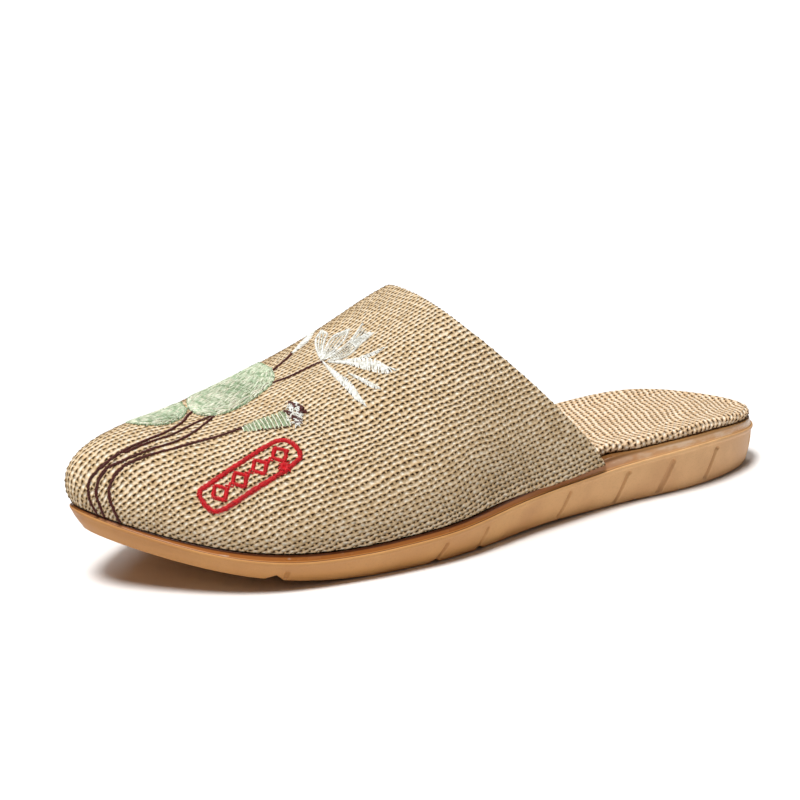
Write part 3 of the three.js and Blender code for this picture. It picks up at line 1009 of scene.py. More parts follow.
@dataclass(frozen=True)
class FloorFinish:
    """A plain pale studio floor."""

    name: str = "studio_floor"
    colour: str = "e9e7e5"

    def material(self) -> Material:
        """Makes the floor's material.

        Returns:
            The material.
        """
        made, _, shader = new_material(self.name, 0.9, Specular_IOR_Level=0.1)
        shader.inputs["Base Color"].default_value = linear(self.colour)
        return made


def placed(name: str, data: bpy.types.ID) -> Object:
    """Makes an object of a mesh, a light or a camera and puts it in the scene.

    Args:
        name: The object's name.
        data: What it shows.

    Returns:
        The object.
    """
    made = bpy.data.objects.new(name, data)
    bpy.context.scene.collection.objects.link(made)
    return made


def mesh_object(
    name: str,
    points: Array,
    faces: list[tuple[int, ...]],
    material: Material,
    offset: Array,
) -> Object:
    """Makes a smooth mesh object whose place is in its mesh.

    Args:
        name: The object's name.
        points: Points in millimetres.
        faces: Corner numbers of each face.
        material: Its material.
        offset: Where the last's origin lies in the frame, in millimetres.

    Returns:
        The object.
    """
    mesh = bpy.data.meshes.new(name)
    mesh.from_pydata(((points + offset) * MM).tolist(), [], faces)
    mesh.materials.append(material)
    mesh.shade_smooth()
    return placed(name, mesh)


def paint_uv(made: Object, chart: Array) -> None:
    """Writes the UV map called yarns from one chart point per vertex.

    Args:
        made: The object.
        chart: A point per vertex.
    """
    mesh = made.data
    corners = np.empty(len(mesh.loops), int)
    mesh.loops.foreach_get("vertex_index", corners)
    layer = mesh.uv_layers.new(name="yarns")
    layer.uv.foreach_set("vector", chart[corners].astype(np.float32).ravel())


def paint_value(made: Object, name: str, values: Array) -> None:
    """Writes one number per vertex as an attribute."""
    layer = made.data.attributes.new(name, "FLOAT", "POINT")
    layer.data.foreach_set("value", values.astype(np.float32).ravel())


def net_faces(index: Array, flip: bool = False) -> Array:
    """Returns the quads of a net of vertex numbers."""
    corners = [corner.ravel() for corner in quad_corners(index)]
    return np.stack(corners[::-1] if flip else corners, -1)


def welded(
    points: Array, faces: Array, extras: Array, places: int = 4
) -> tuple[Array, list[tuple[int, ...]], Array]:
    """Merges points that coincide and drops faces that lose their area.

    Args:
        points: Points in millimetres.
        faces: Four corner numbers per face.
        extras: Other values per point.
        places: Decimal places that count as the same.

    Returns:
        The points, the faces and the extras that are left.
    """
    rounded = np.round(points, places) + 0.0
    _, first, inverse = np.unique(rounded, axis=0, return_index=True, return_inverse=True)
    kept: list[tuple[int, ...]] = []
    for face in inverse.ravel()[faces].tolist():
        corners = tuple(dict.fromkeys(face))
        if len(corners) > 2:
            kept.append(corners)
    return points[first], kept, extras[first]


def numbered(net: Array) -> Array:
    """Returns the vertex numbers of a net of points."""
    return np.arange(net.shape[0] * net.shape[1]).reshape(net.shape[:2])


def net_normals(net: Array) -> Array:
    """Returns unit normals of a net of points by central differences."""
    normal = np.cross(np.gradient(net, axis=1), np.gradient(net, axis=0))
    return normal / np.maximum(np.linalg.norm(normal, axis=-1, keepdims=True), 1e-9)


def vertex_normals(points: Array, faces: list[tuple[int, ...]]) -> Array:
    """Returns unit normals at the points of a welded mesh.

    Args:
        points: Points.
        faces: Corner numbers of each face.

    Returns:
        A normal per point.
    """
    total = np.zeros_like(points)
    for size in (3, 4):
        corners = np.array([face for face in faces if len(face) == size], int)
        if len(corners) == 0:
            continue
        first = points[corners[:, 2]] - points[corners[:, 0]]
        second = points[corners[:, -1]] - points[corners[:, 1]]
        normal = np.cross(first, second)
        for k in range(size):
            np.add.at(total, corners[:, k], normal)
    return total / np.maximum(np.linalg.norm(total, axis=1, keepdims=True), 1e-9)


def smooth_noise(spots: Array, cell: float, seed: int) -> Array:
    """Returns smooth noise from -1 to 1 at flat points.

    Args:
        spots: Flat points, one row each.
        cell: Size of the noise's cells.
        seed: Seed of its random numbers.

    Returns:
        A value per point.
    """
    size = 64
    table = np.random.default_rng(seed).uniform(-1, 1, (size, size))
    place = spots / cell
    low = np.floor(place).astype(int)
    part = eased(place - low)
    near, far = (
        table[(low[..., 0] + i) % size, low[..., 1] % size] * (1 - part[..., 1])
        + table[(low[..., 0] + i) % size, (low[..., 1] + 1) % size] * part[..., 1]
        for i in (0, 1)
    )
    return near * (1 - part[..., 0]) + far * part[..., 0]


def weave_height(yarns: Array, finish: WovenFinish) -> Array:
    """Returns the height of a plain weave, from 0 to 1, as the material's group draws it.

    Args:
        yarns: Points that count yarns.
        finish: The cloth's finish.

    Returns:
        A height per point.
    """
    u, v = yarns[..., 0], yarns[..., 1]
    column, row = np.floor(u), np.floor(v)
    wave = np.cos(math.pi * (u - 0.5 + row))
    under = np.cos(math.pi * (v - 0.5 + column))
    beads = np.cos(math.tau * u)
    off_rib = (v - row - 0.5 - finish.sway * wave) / finish.rib_width
    off_yarn = (u - column - 0.5) / finish.yarn_width
    rib = np.clip(1 - off_rib**2, 0, None) ** ROUNDNESS
    yarn = np.clip(1 - off_yarn**2, 0, None) ** ROUNDNESS
    rib *= RIB_RISE * wave - RIB_PINCH * beads + finish.rib_weight
    yarn *= YARN_LEVEL - YARN_DIP * under
    return np.maximum(rib, yarn)


@dataclass
class Vamp:
    """The closed toe: linen outside, folded over the collar, with a cotton lining."""

    shape: VampShape
    chart: Flattening
    linen: WovenFinish
    offset: Array
    pitch: tuple[float, float] = (1.93, 1.9)
    rib_lean: float = math.radians(4.5)
    yarn_lean: float = math.radians(-6.0)
    relief: float = 0.45
    hem_drop: float = 1.8
    hem_rise: float = 0.4
    vamp_columns: int = 252
    toe_columns: int = 108
    rows: int = 250
    fold_angle: float = math.radians(75.0)
    fold_reach: float = 0.8
    hem_blend: float = 0.14
    hem_hug: float = 0.9
    hem_tuck: float = 1.4
    mean_height: float = 0.64
    lining_thickness: float = 0.5
    lining_swells: tuple[float, float] = (0.12, -0.35)
    lining_pitch: float = 0.9
    lining_columns: tuple[int, int] = (60, 28)
    lining_rows: int = 60

    def rises(self, count: int) -> Array:
        """Spaces rows evenly down a rib."""
        fine, share = self.shape.rib()
        return np.interp(np.linspace(0, 1, count + 1), share, fine)

    def yarns(self, chart: Array) -> Array:
        """Turns chart coordinates into yarn counts, with the slight unevenness of hand-laid cloth.

        Args:
            chart: Chart points in millimetres.

        Returns:
            Points that count yarns.
        """
        across_yarns = (math.cos(self.yarn_lean), math.sin(self.yarn_lean))
        across_ribs = (-math.sin(self.rib_lean), math.cos(self.rib_lean))
        count = chart @ np.array([across_yarns, across_ribs]).T / np.array(self.pitch)
        drift = np.stack([smooth_noise(count, 9.0, 3), smooth_noise(count, 7.0, 5)], -1)
        local = np.stack([smooth_noise(count, 1.6, 7), smooth_noise(count, 1.6, 11)], -1)
        return count + 0.5 * drift + np.array([0.26, 0.17]) * local

    def fold(self, side: int, rise: Array, angles: Array, swell: float) -> Array:
        """Returns the rounded collar edge from the outside (angle 0) to the inside (angle pi).

        Args:
            side: -1 for the outer, 1 for the inner.
            rise: Rises of the rows.
            angles: Angles round the edge.
            swell: How far the edge is moved outwards.

        Returns:
            Points, rows by angles.
        """
        zero = np.zeros_like(rise)
        outside = self.shape.surface(zero, rise, side, 0.0)
        inside = self.shape.surface(zero, rise, side, self.shape.wall)
        back = outside - self.shape.surface(zero + 0.02, rise, side, 0.0)
        back /= np.linalg.norm(back, axis=-1, keepdims=True)
        middle, half = (outside + inside) / 2, (outside - inside) / 2
        reach = np.linalg.norm(half, axis=-1, keepdims=True)
        grow = 1 + swell / reach
        back *= reach * self.fold_reach
        arc = [middle + grow * (half * math.cos(a) + back * math.sin(a)) for a in angles]
        return np.stack(arc, 1)

    def round_fold(self, chart: Array, angles: Array) -> Array:
        """Carries the chart on from the collar round the fold.

        Args:
            chart: Chart points, rows by columns from the collar.
            angles: Angles between the collar and each column to add, the farthest first.

        Returns:
            The chart points with the added columns in front.
        """
        run = chart[:, :1] - chart[:, 2:3]
        run /= np.linalg.norm(run, axis=-1, keepdims=True)
        length = angles[None, :, None] * self.shape.wall / 2
        return np.concatenate([chart[:, :1] + run * length, chart], axis=1)

    def hemmed(
        self, net: Array, chart: Array, rise: Array, sweep: Array, side: int
    ) -> tuple[Array, Array]:
        """Draws the cloth's foot down over the sole's rim near the collar and tucks its edge in.

        Args:
            net: The cloth's points, rows from the foot.
            chart: Their chart points.
            rise: Rises of the rows.
            sweep: Sweeps of the columns.
            side: -1 for the outer, 1 for the inner.

        Returns:
            The points and chart points with a tucked row in front.
        """
        foot = net[0].copy()
        inward = self.shape.surface(sweep, np.zeros(len(foot)), side, 1.5) - foot
        inward[:, 2] = 0
        heelward = (0.5 - self.shape.last.station(foot[:, 0])) / self.hem_blend
        near = eased(np.clip(heelward, 0, 1))[:, None]
        slide = (np.array([0.0, 0.0, -self.hem_drop]) - self.hem_hug * inward) * near
        share = np.clip(1 - rise / self.hem_rise, 0, 1) ** 2
        net = net + share[:, None, None] * slide
        tuck = net[0] + self.hem_tuck * inward
        step = chart[:1] - chart[1:2]
        step /= np.linalg.norm(step, axis=-1, keepdims=True)
        return np.concatenate([tuck[None], net]), np.concatenate([chart[:1] + 1.5 * step, chart])

    def cloth(self, material: Material) -> list[Object]:
        """Builds the linen with its weave standing up from it.

        Args:
            material: The linen's material.

        Returns:
            The cloth's outer half and its inner half.
        """
        rise = self.rises(self.rows)
        sweep = sweep_steps(self.vamp_columns, self.toe_columns)
        grid_rise, grid_sweep = np.meshgrid(rise, sweep, indexing="ij")
        angles = np.linspace(self.fold_angle, 0, 5)[:-1]
        nets, charts, faces, start = [], [], [], 0
        for side in (-1, 1):
            net = self.shape.surface(grid_sweep, grid_rise, side, 0.0)
            net = np.concatenate([self.fold(side, rise, angles, 0.0), net], axis=1)
            chart = self.round_fold(self.chart.at(grid_sweep, grid_rise, side), angles)
            net, chart = self.hemmed(net, chart, rise, np.concatenate([0 * angles, sweep]), side)
            index = numbered(net) + start
            faces.append(net_faces(index, side > 0))
            nets.append(net.reshape(-1, 3))
            charts.append(chart.reshape(-1, 2))
            start += index.size
        loose, flat = np.concatenate(nets), np.concatenate(charts)
        _, inner, _ = welded(loose, faces[1], flat)
        points, outer, flat = welded(loose, faces[0], flat)
        yarns = self.yarns(flat)
        height = (weave_height(yarns, self.linen) - self.mean_height) * self.relief
        normals = vertex_normals(points, outer + inner)
        points = points + normals * height[:, None]
        halves = []
        for name, corners in (("upper_linen_outer", outer), ("upper_linen_inner", inner)):
            used = np.unique(np.concatenate([np.array(face) for face in corners]))
            number = np.full(len(points), -1)
            number[used] = np.arange(len(used))
            renamed = [tuple(number[list(face)].tolist()) for face in corners]
            made = mesh_object(name, points[used], renamed, material, self.offset)
            paint_uv(made, yarns[used])
            made.data.normals_split_custom_set_from_vertices(normals[used].tolist())
            halves.append(made)
        return halves

    def lining(self, material: Material) -> Object:
        """Builds the lining: a thin closed shell inside the vamp that wraps its rim.

        Args:
            material: The lining's material.

        Returns:
            The lining's object.
        """
        rise = self.rises(self.lining_rows)
        grid_rise, grid_sweep = np.meshgrid(rise, sweep_steps(*self.lining_columns), indexing="ij")
        angles = np.linspace(self.fold_angle - 0.25, math.pi, 9)[:-1]
        nets, charts, faces, start = [], [], [], 0
        for side in (-1, 1):
            layers = []
            insets = (self.shape.wall, self.shape.wall - self.lining_thickness)
            for inset, swell in zip(insets, self.lining_swells):
                net = self.shape.surface(grid_sweep, grid_rise, side, inset)
                layers.append(np.concatenate([self.fold(side, rise, angles, swell), net], axis=1))
            flat = self.chart.at(grid_sweep, grid_rise, side)
            chart = self.round_fold(flat, math.pi - angles)
            inner = numbered(layers[0]) + start
            size = inner.size
            outer = inner + size
            faces.append(net_faces(inner, side < 0))
            faces.append(net_faces(outer, side > 0))
            faces.append(net_faces(np.stack([inner[:, 0], outer[:, 0]], 1), side < 0))
            faces.append(net_faces(np.stack([outer[0], inner[0]], 0), side < 0))
            nets += [layer.reshape(-1, 3) for layer in layers]
            charts += [chart.reshape(-1, 2)] * 2
            start += 2 * size
        loose, flat = np.concatenate(nets), np.concatenate(charts)
        points, corners, flat = welded(loose, np.concatenate(faces), flat)
        made = mesh_object("upper_lining", points, corners, material, self.offset)
        paint_uv(made, flat / self.lining_pitch)
        return made


@dataclass
class Insole:
    """The woven insole: cloth over a foam pad, with a rolled edge.

    The profile gives the edge from under the pad to its top: inset, and share of the pad's height.
    """

    last: Last
    finish: WovenFinish
    offset: Array
    height: float = 3.9
    dish: float = 0.9
    gap: float = 0.3
    heel_inset: float = 1.6
    tuck_inset: float = 5.0
    tuck: tuple[float, float] = (0.24, 0.292)
    cord_pitch: float = 2.2
    cross_pitch: float = 2.0
    cord_turn: float = math.radians(17.0)
    relief: float = 0.75
    mean_height: float = 0.6
    dish_reach: float = 7.0
    turn_steps: int = 420
    across_steps: int = 130
    profile: Points = (
        (1.6, 0.0), (0.75, 0.03), (0.3, 0.12), (0.08, 0.28), (0.0, 0.45), (0.06, 0.62),
        (0.35, 0.79), (0.9, 0.91), (1.7, 0.98), (2.6, 1.0),
    )

    def edge_rings(
        self, turn: Array, edge: Array, side: int
    ) -> tuple[list[Array], list[Array]]:
        """Lays the rings of the rolled edge, from under the pad to its top.

        Args:
            turn: Angles from 0 at the heel to pi at the toe.
            edge: How far the pad's edge lies inside the lip at each angle.
            side: -1 for the outer, 1 for the inner.

        Returns:
            The rings' points, and the same rings with the cloth laid flat.
        """
        lift = self.height - self.gap
        base = self.last.outline(turn, side, edge)
        out = base - self.last.outline(turn, side, edge + 1.0)
        top_inset, previous_share = self.profile[-1]
        previous_inset, run = top_inset, 0.0
        rings, flat = [], []
        for inset, share in reversed(self.profile):
            plan = self.last.outline(turn, side, edge + inset)
            top = self.last.top_height(self.last.station(plan[:, 0]))
            rings.append(np.column_stack([plan, top + self.gap + lift * share]))
            run += math.hypot(inset - previous_inset, lift * (share - previous_share))
            previous_inset, previous_share = inset, share
            flat.append(base - out * top_inset + out * run)
        return rings[::-1], flat[::-1]

    def top_rows(self, outer: Array, inner: Array) -> list[Array]:
        """Fills the pad's dished top between the two sides' highest rings.

        Args:
            outer: The outer side's ring.
            inner: The inner side's ring.

        Returns:
            Rows of points from the outer side to the inner side.
        """
        half = np.linalg.norm(inner - outer, axis=1) / 2
        rows = []
        for part in np.linspace(0, 1, self.across_steps + 1)[1:-1]:
            spot = outer * (1 - part) + inner * part
            reach = np.minimum(part, 1 - part) * 2 * half
            slope = np.clip(reach / self.dish_reach, 0, 1) ** 1.3
            spot[:, 2] -= self.dish * slope * np.minimum(1, half / 8)
            rows.append(spot)
        return rows

    def cords(self, plan: Array) -> Array:
        """Turns points of the flat cloth into yarn counts, bent and uneven as the cloth was glued.

        Args:
            plan: Points of the flat cloth in millimetres.

        Returns:
            Points that count yarns.
        """
        x, y = plan[:, 0], plan[:, 1]
        cos, sin = math.cos(self.cord_turn), math.sin(self.cord_turn)
        across = (x * sin - y * cos) * -1 / self.cross_pitch
        cords = np.stack([across, (x * cos - y * sin) / self.cord_pitch], -1)
        curl = 9.0 * np.clip((-y - 5) / 35, 0, 1) ** 3 / self.cord_pitch
        bend = 0.9 * np.sin(y / 34.0) - curl
        cords[:, 1] += bend + 0.45 * smooth_noise(cords, 7.0, 23) + 0.16 * smooth_noise(cords, 1.7, 29)
        cords[:, 0] += 0.5 * smooth_noise(cords, 5.0, 31) + 0.15 * smooth_noise(cords, 1.5, 37)
        return cords

    def piece(self, material: Material) -> Object:
        """Builds the pad with its weave standing up from it.

        Args:
            material: The cloth's material.

        Returns:
            The pad's object.
        """
        turn = np.linspace(0, math.pi, self.turn_steps + 1)
        along = (1 - np.cos(turn)) / 2
        share = np.clip((along - self.tuck[0]) / (self.tuck[1] - self.tuck[0]), 0, 1)
        edge = self.heel_inset + (self.tuck_inset - self.heel_inset) * eased(share)
        outer, outer_flat = self.edge_rings(turn, edge, -1)
        inner, inner_flat = self.edge_rings(turn, edge, 1)
        top = self.top_rows(outer[-1], inner[-1])
        net = np.stack(outer + top + inner[::-1])
        flat = np.stack(outer_flat + [row[:, :2] for row in top] + inner_flat[::-1])
        index = numbered(net)
        faces = np.concatenate([net_faces(index), net_faces(np.stack([index[-1], index[0]]))])
        points, corners, plan = welded(net.reshape(-1, 3), faces, flat.reshape(-1, 2))
        cords = self.cords(plan)
        normals = vertex_normals(points, corners)
        fade = np.clip((normals[:, 2] + 0.9) / 0.5, 0, 1)
        height = (weave_height(cords, self.finish) - self.mean_height) * self.relief * fade
        points = points + normals * height[:, None]
        made = mesh_object("insole_pad", points, corners, material, self.offset)
        paint_uv(made, cords)
        return made


@dataclass(frozen=True)
class Dent:
    """A slanting channel in the sole's side.

    Its line gives stations and shares of the wall's height; half is half its width.
    """

    line: Points
    half: float
    depth: float


ABOVE_WALL = 2.0


@dataclass(frozen=True)
class Ring:
    """One ring round the sole's side: its level is its share of the wall, its shade the rim attribute."""

    inset: Array | float
    height: Callable[[Array], Array]
    level: float
    shade: float


@dataclass
class Sole:
    """The moulded sole with its stepped rim, tread grooves and slanting dents.

    A groove is a station, half its width and its depth. The lip's profile gives insets, drops below the
    crease and rim shades; the crest's shift moves the crease up or down at stations.
    """

    last: Last
    offset: Array
    edge_round: float = 1.3
    rim_inset: float = 1.4
    lip: float = 1.1
    edge_rise: float = 0.6
    wall_bulge: float = 0.35
    dent_edge: float = 0.4
    dent_rim: float = 0.14
    turn_steps: int = 300
    wall_steps: int = 30
    across_steps: int = 26
    grooves: tuple[tuple[float, float, float], ...] = (
        (0.171, 1.2, 0.7), (0.243, 1.2, 0.7), (0.373, 1.2, 0.7), (0.513, 2.2, 1.5),
        (0.584, 2.4, 1.6), (0.797, 3.0, 2.3),
    )
    dents: tuple[Dent, ...] = (
        Dent(((0.021, 0.8), (0.0155, 0.1)), 0.85, 0.7),
        Dent(((0.1085, 0.86), (0.1115, 0.85), (0.1215, 0.12)), 0.75, 0.75),
        Dent(((0.1905, 0.85), (0.2065, 0.02)), 1.15, 0.75),
        Dent(((0.2605, 0.87), (0.264, 0.86), (0.276, 0.02)), 0.65, 0.75),
        Dent(((0.3623, 0.88), (0.3725, 0.0)), 0.6, 0.7),
        Dent(((0.5048, 0.78), (0.5118, 0.0)), 0.6, 0.7),
        Dent(((0.5716, 0.76), (0.581, 0.0)), 0.6, 0.7),
        Dent(((0.7875, 0.6), (0.7896, 0.0)), 0.6, 0.5),
    )
    # Rim shades near 0.45 carry the painted shade of the crease line
    lip_profile: Table = (
        (0.22, 1.38, 0.0), (0.05, 1.1, 0.0), (0.0, 0.8, 0.0), (0.0, 0.45, 0.0), (0.08, 0.15, 0.0),
        (0.25, 0.0, 0.2), (0.45, 0.02, 0.46), (0.65, 0.0, 0.48), (0.8, -0.1, 0.62),
    )
    crest_shift: Points = (
        (0.0, -1.2), (0.12, -1.3), (0.3, -1.0), (0.4, 0.4), (0.55, 1.2), (0.68, 0.9), (0.8, 0.0),
        (1.0, 0.0),
    )

    def crest(self, along: Array) -> Array:
        """Returns the height of the crease between the wall and the rim, in millimetres."""
        return self.last.lip_height(along) + through(self.crest_shift, 1, along)

    def turns(self) -> Array:
        """Places the sole's columns, closer together at grooves and dents.

        Returns:
            Angles from 0 at the heel to pi at the toe.
        """
        stations = [(1 - np.cos(np.linspace(0, math.pi, self.turn_steps + 1))) / 2]
        for along, half, _ in self.grooves:
            stations.append(along + np.linspace(-1.15, 1.15, 13) * half / self.last.length)
        for dent in self.dents:
            places = [station for station, _ in dent.line]
            low, high = min(places), max(places)
            pad = 1.3 * dent.half / self.last.length
            stations.append(np.arange(max(low - pad, 0.001), high + pad, 0.25 / self.last.length))
        joined = np.unique(np.round(np.concatenate(stations), 5))
        keep = np.concatenate([[True], np.diff(joined) > 0.0005])
        keep[-1] = True
        return np.arccos(np.clip(1 - 2 * joined[keep], -1, 1))

    def wall_height(self, along: Array, share: float) -> Array:
        """Returns the height of the wall at stations, from 0 at its foot to 1 below the lip."""
        foot = self.last.tread_height(along) + self.edge_round * self.edge_rise
        return foot * (1 - share) + (self.crest(along) - self.lip * 1.6) * share

    def step_height(self, along: Array, share: float) -> Array:
        """Returns the height of the rim's step at stations, from 0 at the crease to 1 below the top."""
        return (self.crest(along) + 0.1) * (1 - share) + (self.last.top_height(along) - 0.3) * share

    def rings(self, bottom: Array) -> list[Ring]:
        """Lists the rings of a side, from the tread's edge over the wall and the rim to the top.

        Args:
            bottom: How far the tread's edge lies inside the lip at each column.

        Returns:
            The rings.
        """
        last, rings = self.last, []
        for angle in np.linspace(0, math.pi / 2, 5):
            inset = bottom + self.edge_round * (1 - math.sin(angle))
            rise = self.edge_round * self.edge_rise * (1 - math.cos(angle))
            rings.append(Ring(inset, lambda s, r=rise: last.tread_height(s) + r, 0.0, 0.0))
        for t in np.linspace(0, 1, self.wall_steps + 1)[1:]:
            inset = bottom * (1 - t) + self.lip * 0.5 * t - self.wall_bulge * math.sin(math.pi * t)
            rings.append(Ring(inset, lambda s, t=t: self.wall_height(s, t), t, 0.0))
        for inset, drop, shade in self.lip_profile:
            rings.append(Ring(inset, lambda s, d=drop: self.crest(s) - d, ABOVE_WALL, shade))
        # Rim values rising to 1 over the step mark the painted shadow below the insole
        for t in np.linspace(0, 1, 6)[1:]:
            inset = 0.85 + (self.rim_inset - 1.0) * t
            shade = 0.78 + 0.22 * max(0.0, t - 0.6) / 0.4
            rings.append(Ring(inset, lambda s, t=t: self.step_height(s, t), ABOVE_WALL, shade))
        for inset, drop in ((self.rim_inset - 0.1, 0.08), (self.rim_inset + 0.15, 0.0)):
            rings.append(Ring(inset, lambda s, d=drop: last.top_height(s) - d, ABOVE_WALL, 1.0))
        return rings

    def piece(self, material: Material) -> Object:
        """Builds the sole.

        Args:
            material: The rubber.

        Returns:
            The sole's object.
        """
        last, turn = self.last, self.turns()
        rings = self.rings(last.bottom_edge((1 - np.cos(turn)) / 2))
        nets, dents = [], []
        for side in (-1, 1):
            net = np.zeros((len(rings), len(turn), 3))
            deep = np.zeros(net.shape[:2])
            for n, ring in enumerate(rings):
                plan = last.outline(turn, side, ring.inset)
                net[n] = np.column_stack([plan, ring.height(last.station(plan[:, 0]))])
                if 0 < ring.level <= 1:
                    deep[n] = self.dent_depth(net[n], turn, ring.level)
            normal = net_normals(net) * side
            out = last.outline(turn, side, 0) - last.outline(turn, side, 1)
            outward = np.einsum("ijk,jk->ij", normal[..., :2], out)
            normal *= np.where(outward.mean() < 0, -1.0, 1.0)
            nets.append(net - normal * deep[..., None])
            dents.append(deep)
        outer, inner = nets
        shares = np.linspace(0, 1, self.across_steps + 1)[1:-1]
        under = [outer[0] * (1 - t) + inner[0] * t for t in shares]
        over = [outer[-1] * (1 - t) + inner[-1] * t for t in (0.98, 0.02)]
        loop = np.concatenate([outer[::-1], np.stack(under), inner, np.stack(over)])
        shade = [ring.shade for ring in rings]
        column = np.array(shade[::-1] + [0.0] * len(under) + shade + [1.0] * len(over))
        rim = column[:, None] * np.ones(len(turn))
        bare = [np.zeros((len(rows), len(turn))) for rows in (under, over)]
        deep = np.concatenate([dents[0][::-1], bare[0], dents[1], bare[1]])
        self.carve(loop)
        index = numbered(loop)
        faces = net_faces(np.concatenate([index, index[:1]]), True)
        values = np.column_stack([rim.ravel(), np.clip(deep.ravel() / 0.6, 0, 1)])
        points, corners, values = welded(loop.reshape(-1, 3), faces, values)
        made = mesh_object("sole_moulding", points, corners, material, self.offset)
        paint_value(made, "rim", values[:, 0])
        paint_value(made, "groove", values[:, 1])
        return made

    def dent_depth(self, ring: Array, turn: Array, level: float) -> Array:
        """Returns how deep the dents are along one ring of the wall.

        Args:
            ring: The ring's points.
            turn: The angles of the ring's points.
            level: The ring's share of the wall, 0 low to 1 high.

        Returns:
            A depth per point.
        """
        deep = np.zeros(len(ring))
        run = run_lengths(ring[:, :2])
        for dent in self.dents:
            stations = np.array([station for station, _ in dent.line])
            tall = float(np.mean(self.crest(stations) - self.last.tread_height(stations)))
            across = np.interp(np.arccos(1 - 2 * stations), turn, run)
            line = np.column_stack([across, [share * tall for _, share in dent.line]])
            near = np.full(len(ring), np.inf)
            for start, end in zip(line[:-1], line[1:]):
                reach = end - start
                spot = np.column_stack([run, np.full(len(run), level * tall)]) - start
                part = np.clip(spot @ reach / (reach @ reach), 0, 1)
                near = np.minimum(near, np.linalg.norm(spot - part[:, None] * reach, axis=1))
            part = np.clip((dent.half - near) / self.dent_edge + 0.5, 0, 1)
            rim = np.clip(1 - np.abs(near - dent.half - 0.5) / 0.45, 0, 1)
            deep = deep + dent.depth * eased(part) - self.dent_rim * rim
        return deep

    def carve(self, loop: Array) -> None:
        """Cuts the tread grooves into the underside and the wall's lower edge.

        Args:
            loop: The sole's points, changed in place.
        """
        along = self.last.station(loop[..., 0])
        tread = self.last.tread_height(along)
        for station, half, depth in self.grooves:
            inside = 1.04 - np.abs(along - station) * self.last.length / half
            roof = tread + depth * np.clip(inside, 0, 1)
            cut = (loop[..., 2] < roof) & (inside > 0)
            loop[..., 2] = np.where(cut, roof, loop[..., 2])


class Thread(Enum):
    """Colours of embroidery thread."""

    WHITE = "f1f2ed"
    GREY = "e6e8e0"
    PALE_GREEN = "f0efdc"
    SAGE = "ccd8bc"
    GREEN = "a0b893"
    DEEP_GREEN = "6b8862"
    BROWN = "52180e"
    RED = "d5101f"


# Lines to stitch, in chart millimetres: how far from the collar, and across the ridge
# Leaves: lower edge, upper edge, number of long lines, share of the length that stays loose
LEAVES: tuple[tuple[Points, Points, int, float], ...] = (
    (
        (
            (88.0, 3.0), (88.3, -5.0), (85.0, -10.3), (80.4, -12.4), (74.7, -12.1), (70.7, -11.3),
            (65.1, -9.4), (60.8, -7.1), (57.3, -2.0), (54.8, 5.0),
        ),
        (
            (88.0, 3.0), (86.4, 9.0), (83.5, 17.0), (78.0, 23.5), (70.0, 26.0), (62.0, 25.5),
            (54.0, 22.0),
        ),
        46,
        0.66,
    ),
    (
        ((109.6, 3.9), (108.6, -2.2), (104.6, -6.7), (99.4, -8.1), (93.5, -5.0), (88.6, 3.0)),
        ((109.6, 3.9), (106.0, 8.5), (100.5, 12.4), (94.5, 16.8), (90.5, 18.4), (87.0, 15.5)),
        23,
        0.9,
    ),
)
# Stems: line from the top, half its width there and at the other end
STEMS: tuple[tuple[Points, float, float], ...] = (
    (
        (
            (88.4, -1.3), (90.8, -3.6), (93.6, -7.4), (96.8, -10.4), (102.7, -13.2),
            (109.8, -13.9), (116.8, -13.8), (124.5, -13.8), (128.9, -13.6), (132.4, -13.5),
            (134.8, -14.3), (137.4, -15.8), (139.5, -17.9), (141.4, -20.5),
        ),
        0.4,
        0.5,
    ),
    (
        (
            (86.0, -10.5), (90.2, -11.5), (96.4, -13.9), (101.9, -15.6), (110.0, -15.4),
            (118.0, -14.8),
        ),
        0.36,
        0.4,
    ),
    (
        (
            (85.1, -11.5), (92.6, -16.5), (99.1, -19.1), (104.5, -19.6), (109.8, -18.7),
            (114.4, -18.1), (118.0, -17.4), (122.6, -16.4), (125.5, -15.4), (129.2, -15.8),
            (132.2, -16.6), (134.6, -17.7), (136.7, -20.0), (140.1, -23.7),
        ),
        0.38,
        0.54,
    ),
    (
        (
            (81.0, -25.8), (83.0, -25.6), (89.1, -24.8), (96.3, -23.5), (101.1, -22.8),
            (105.0, -22.3), (109.3, -21.2), (113.7, -20.1), (117.3, -19.3), (121.1, -18.7),
            (124.5, -18.8), (127.5, -19.6), (130.4, -20.7), (132.4, -22.5), (134.1, -25.1),
            (135.7, -27.7), (137.5, -30.6),
        ),
        0.4,
        0.58,
    ),
    (
        ((59.6, -6.2), (55.1, -7.9), (49.6, -9.0), (44.8, -9.5), (42.0, -10.8)),
        0.42,
        0.36,
    ),
    (
        ((56.4, 3.4), (51.2, 5.7), (47.4, 7.6), (44.8, 9.7)),
        0.42,
        0.42,
    ),
)
# Open petals: two edges from the root to the tip, number of veins
OPEN_PETALS: tuple[tuple[Points, Points, int], ...] = (
    (
        ((41.5, -9.3), (38.2, 1.1), (34.5, 9.1), (30.0, 13.8)),
        ((40.9, -9.0), (37.0, -1.5), (33.0, 4.5), (30.6, 7.4), (30.0, 13.8)),
        2,
    ),
    (
        ((41.0, -9.3), (35.7, -2.0), (30.2, 2.5), (24.9, 0.0)),
        ((40.9, -10.3), (35.2, -8.0), (29.3, -4.7), (24.9, 0.0)),
        3,
    ),
    (
        ((40.4, -10.8), (34.5, -9.9), (29.1, -8.5), (20.7, -3.2)),
        ((40.2, -12.8), (35.0, -16.9), (28.7, -15.2), (22.1, -13.6)),
        4,
    ),
)
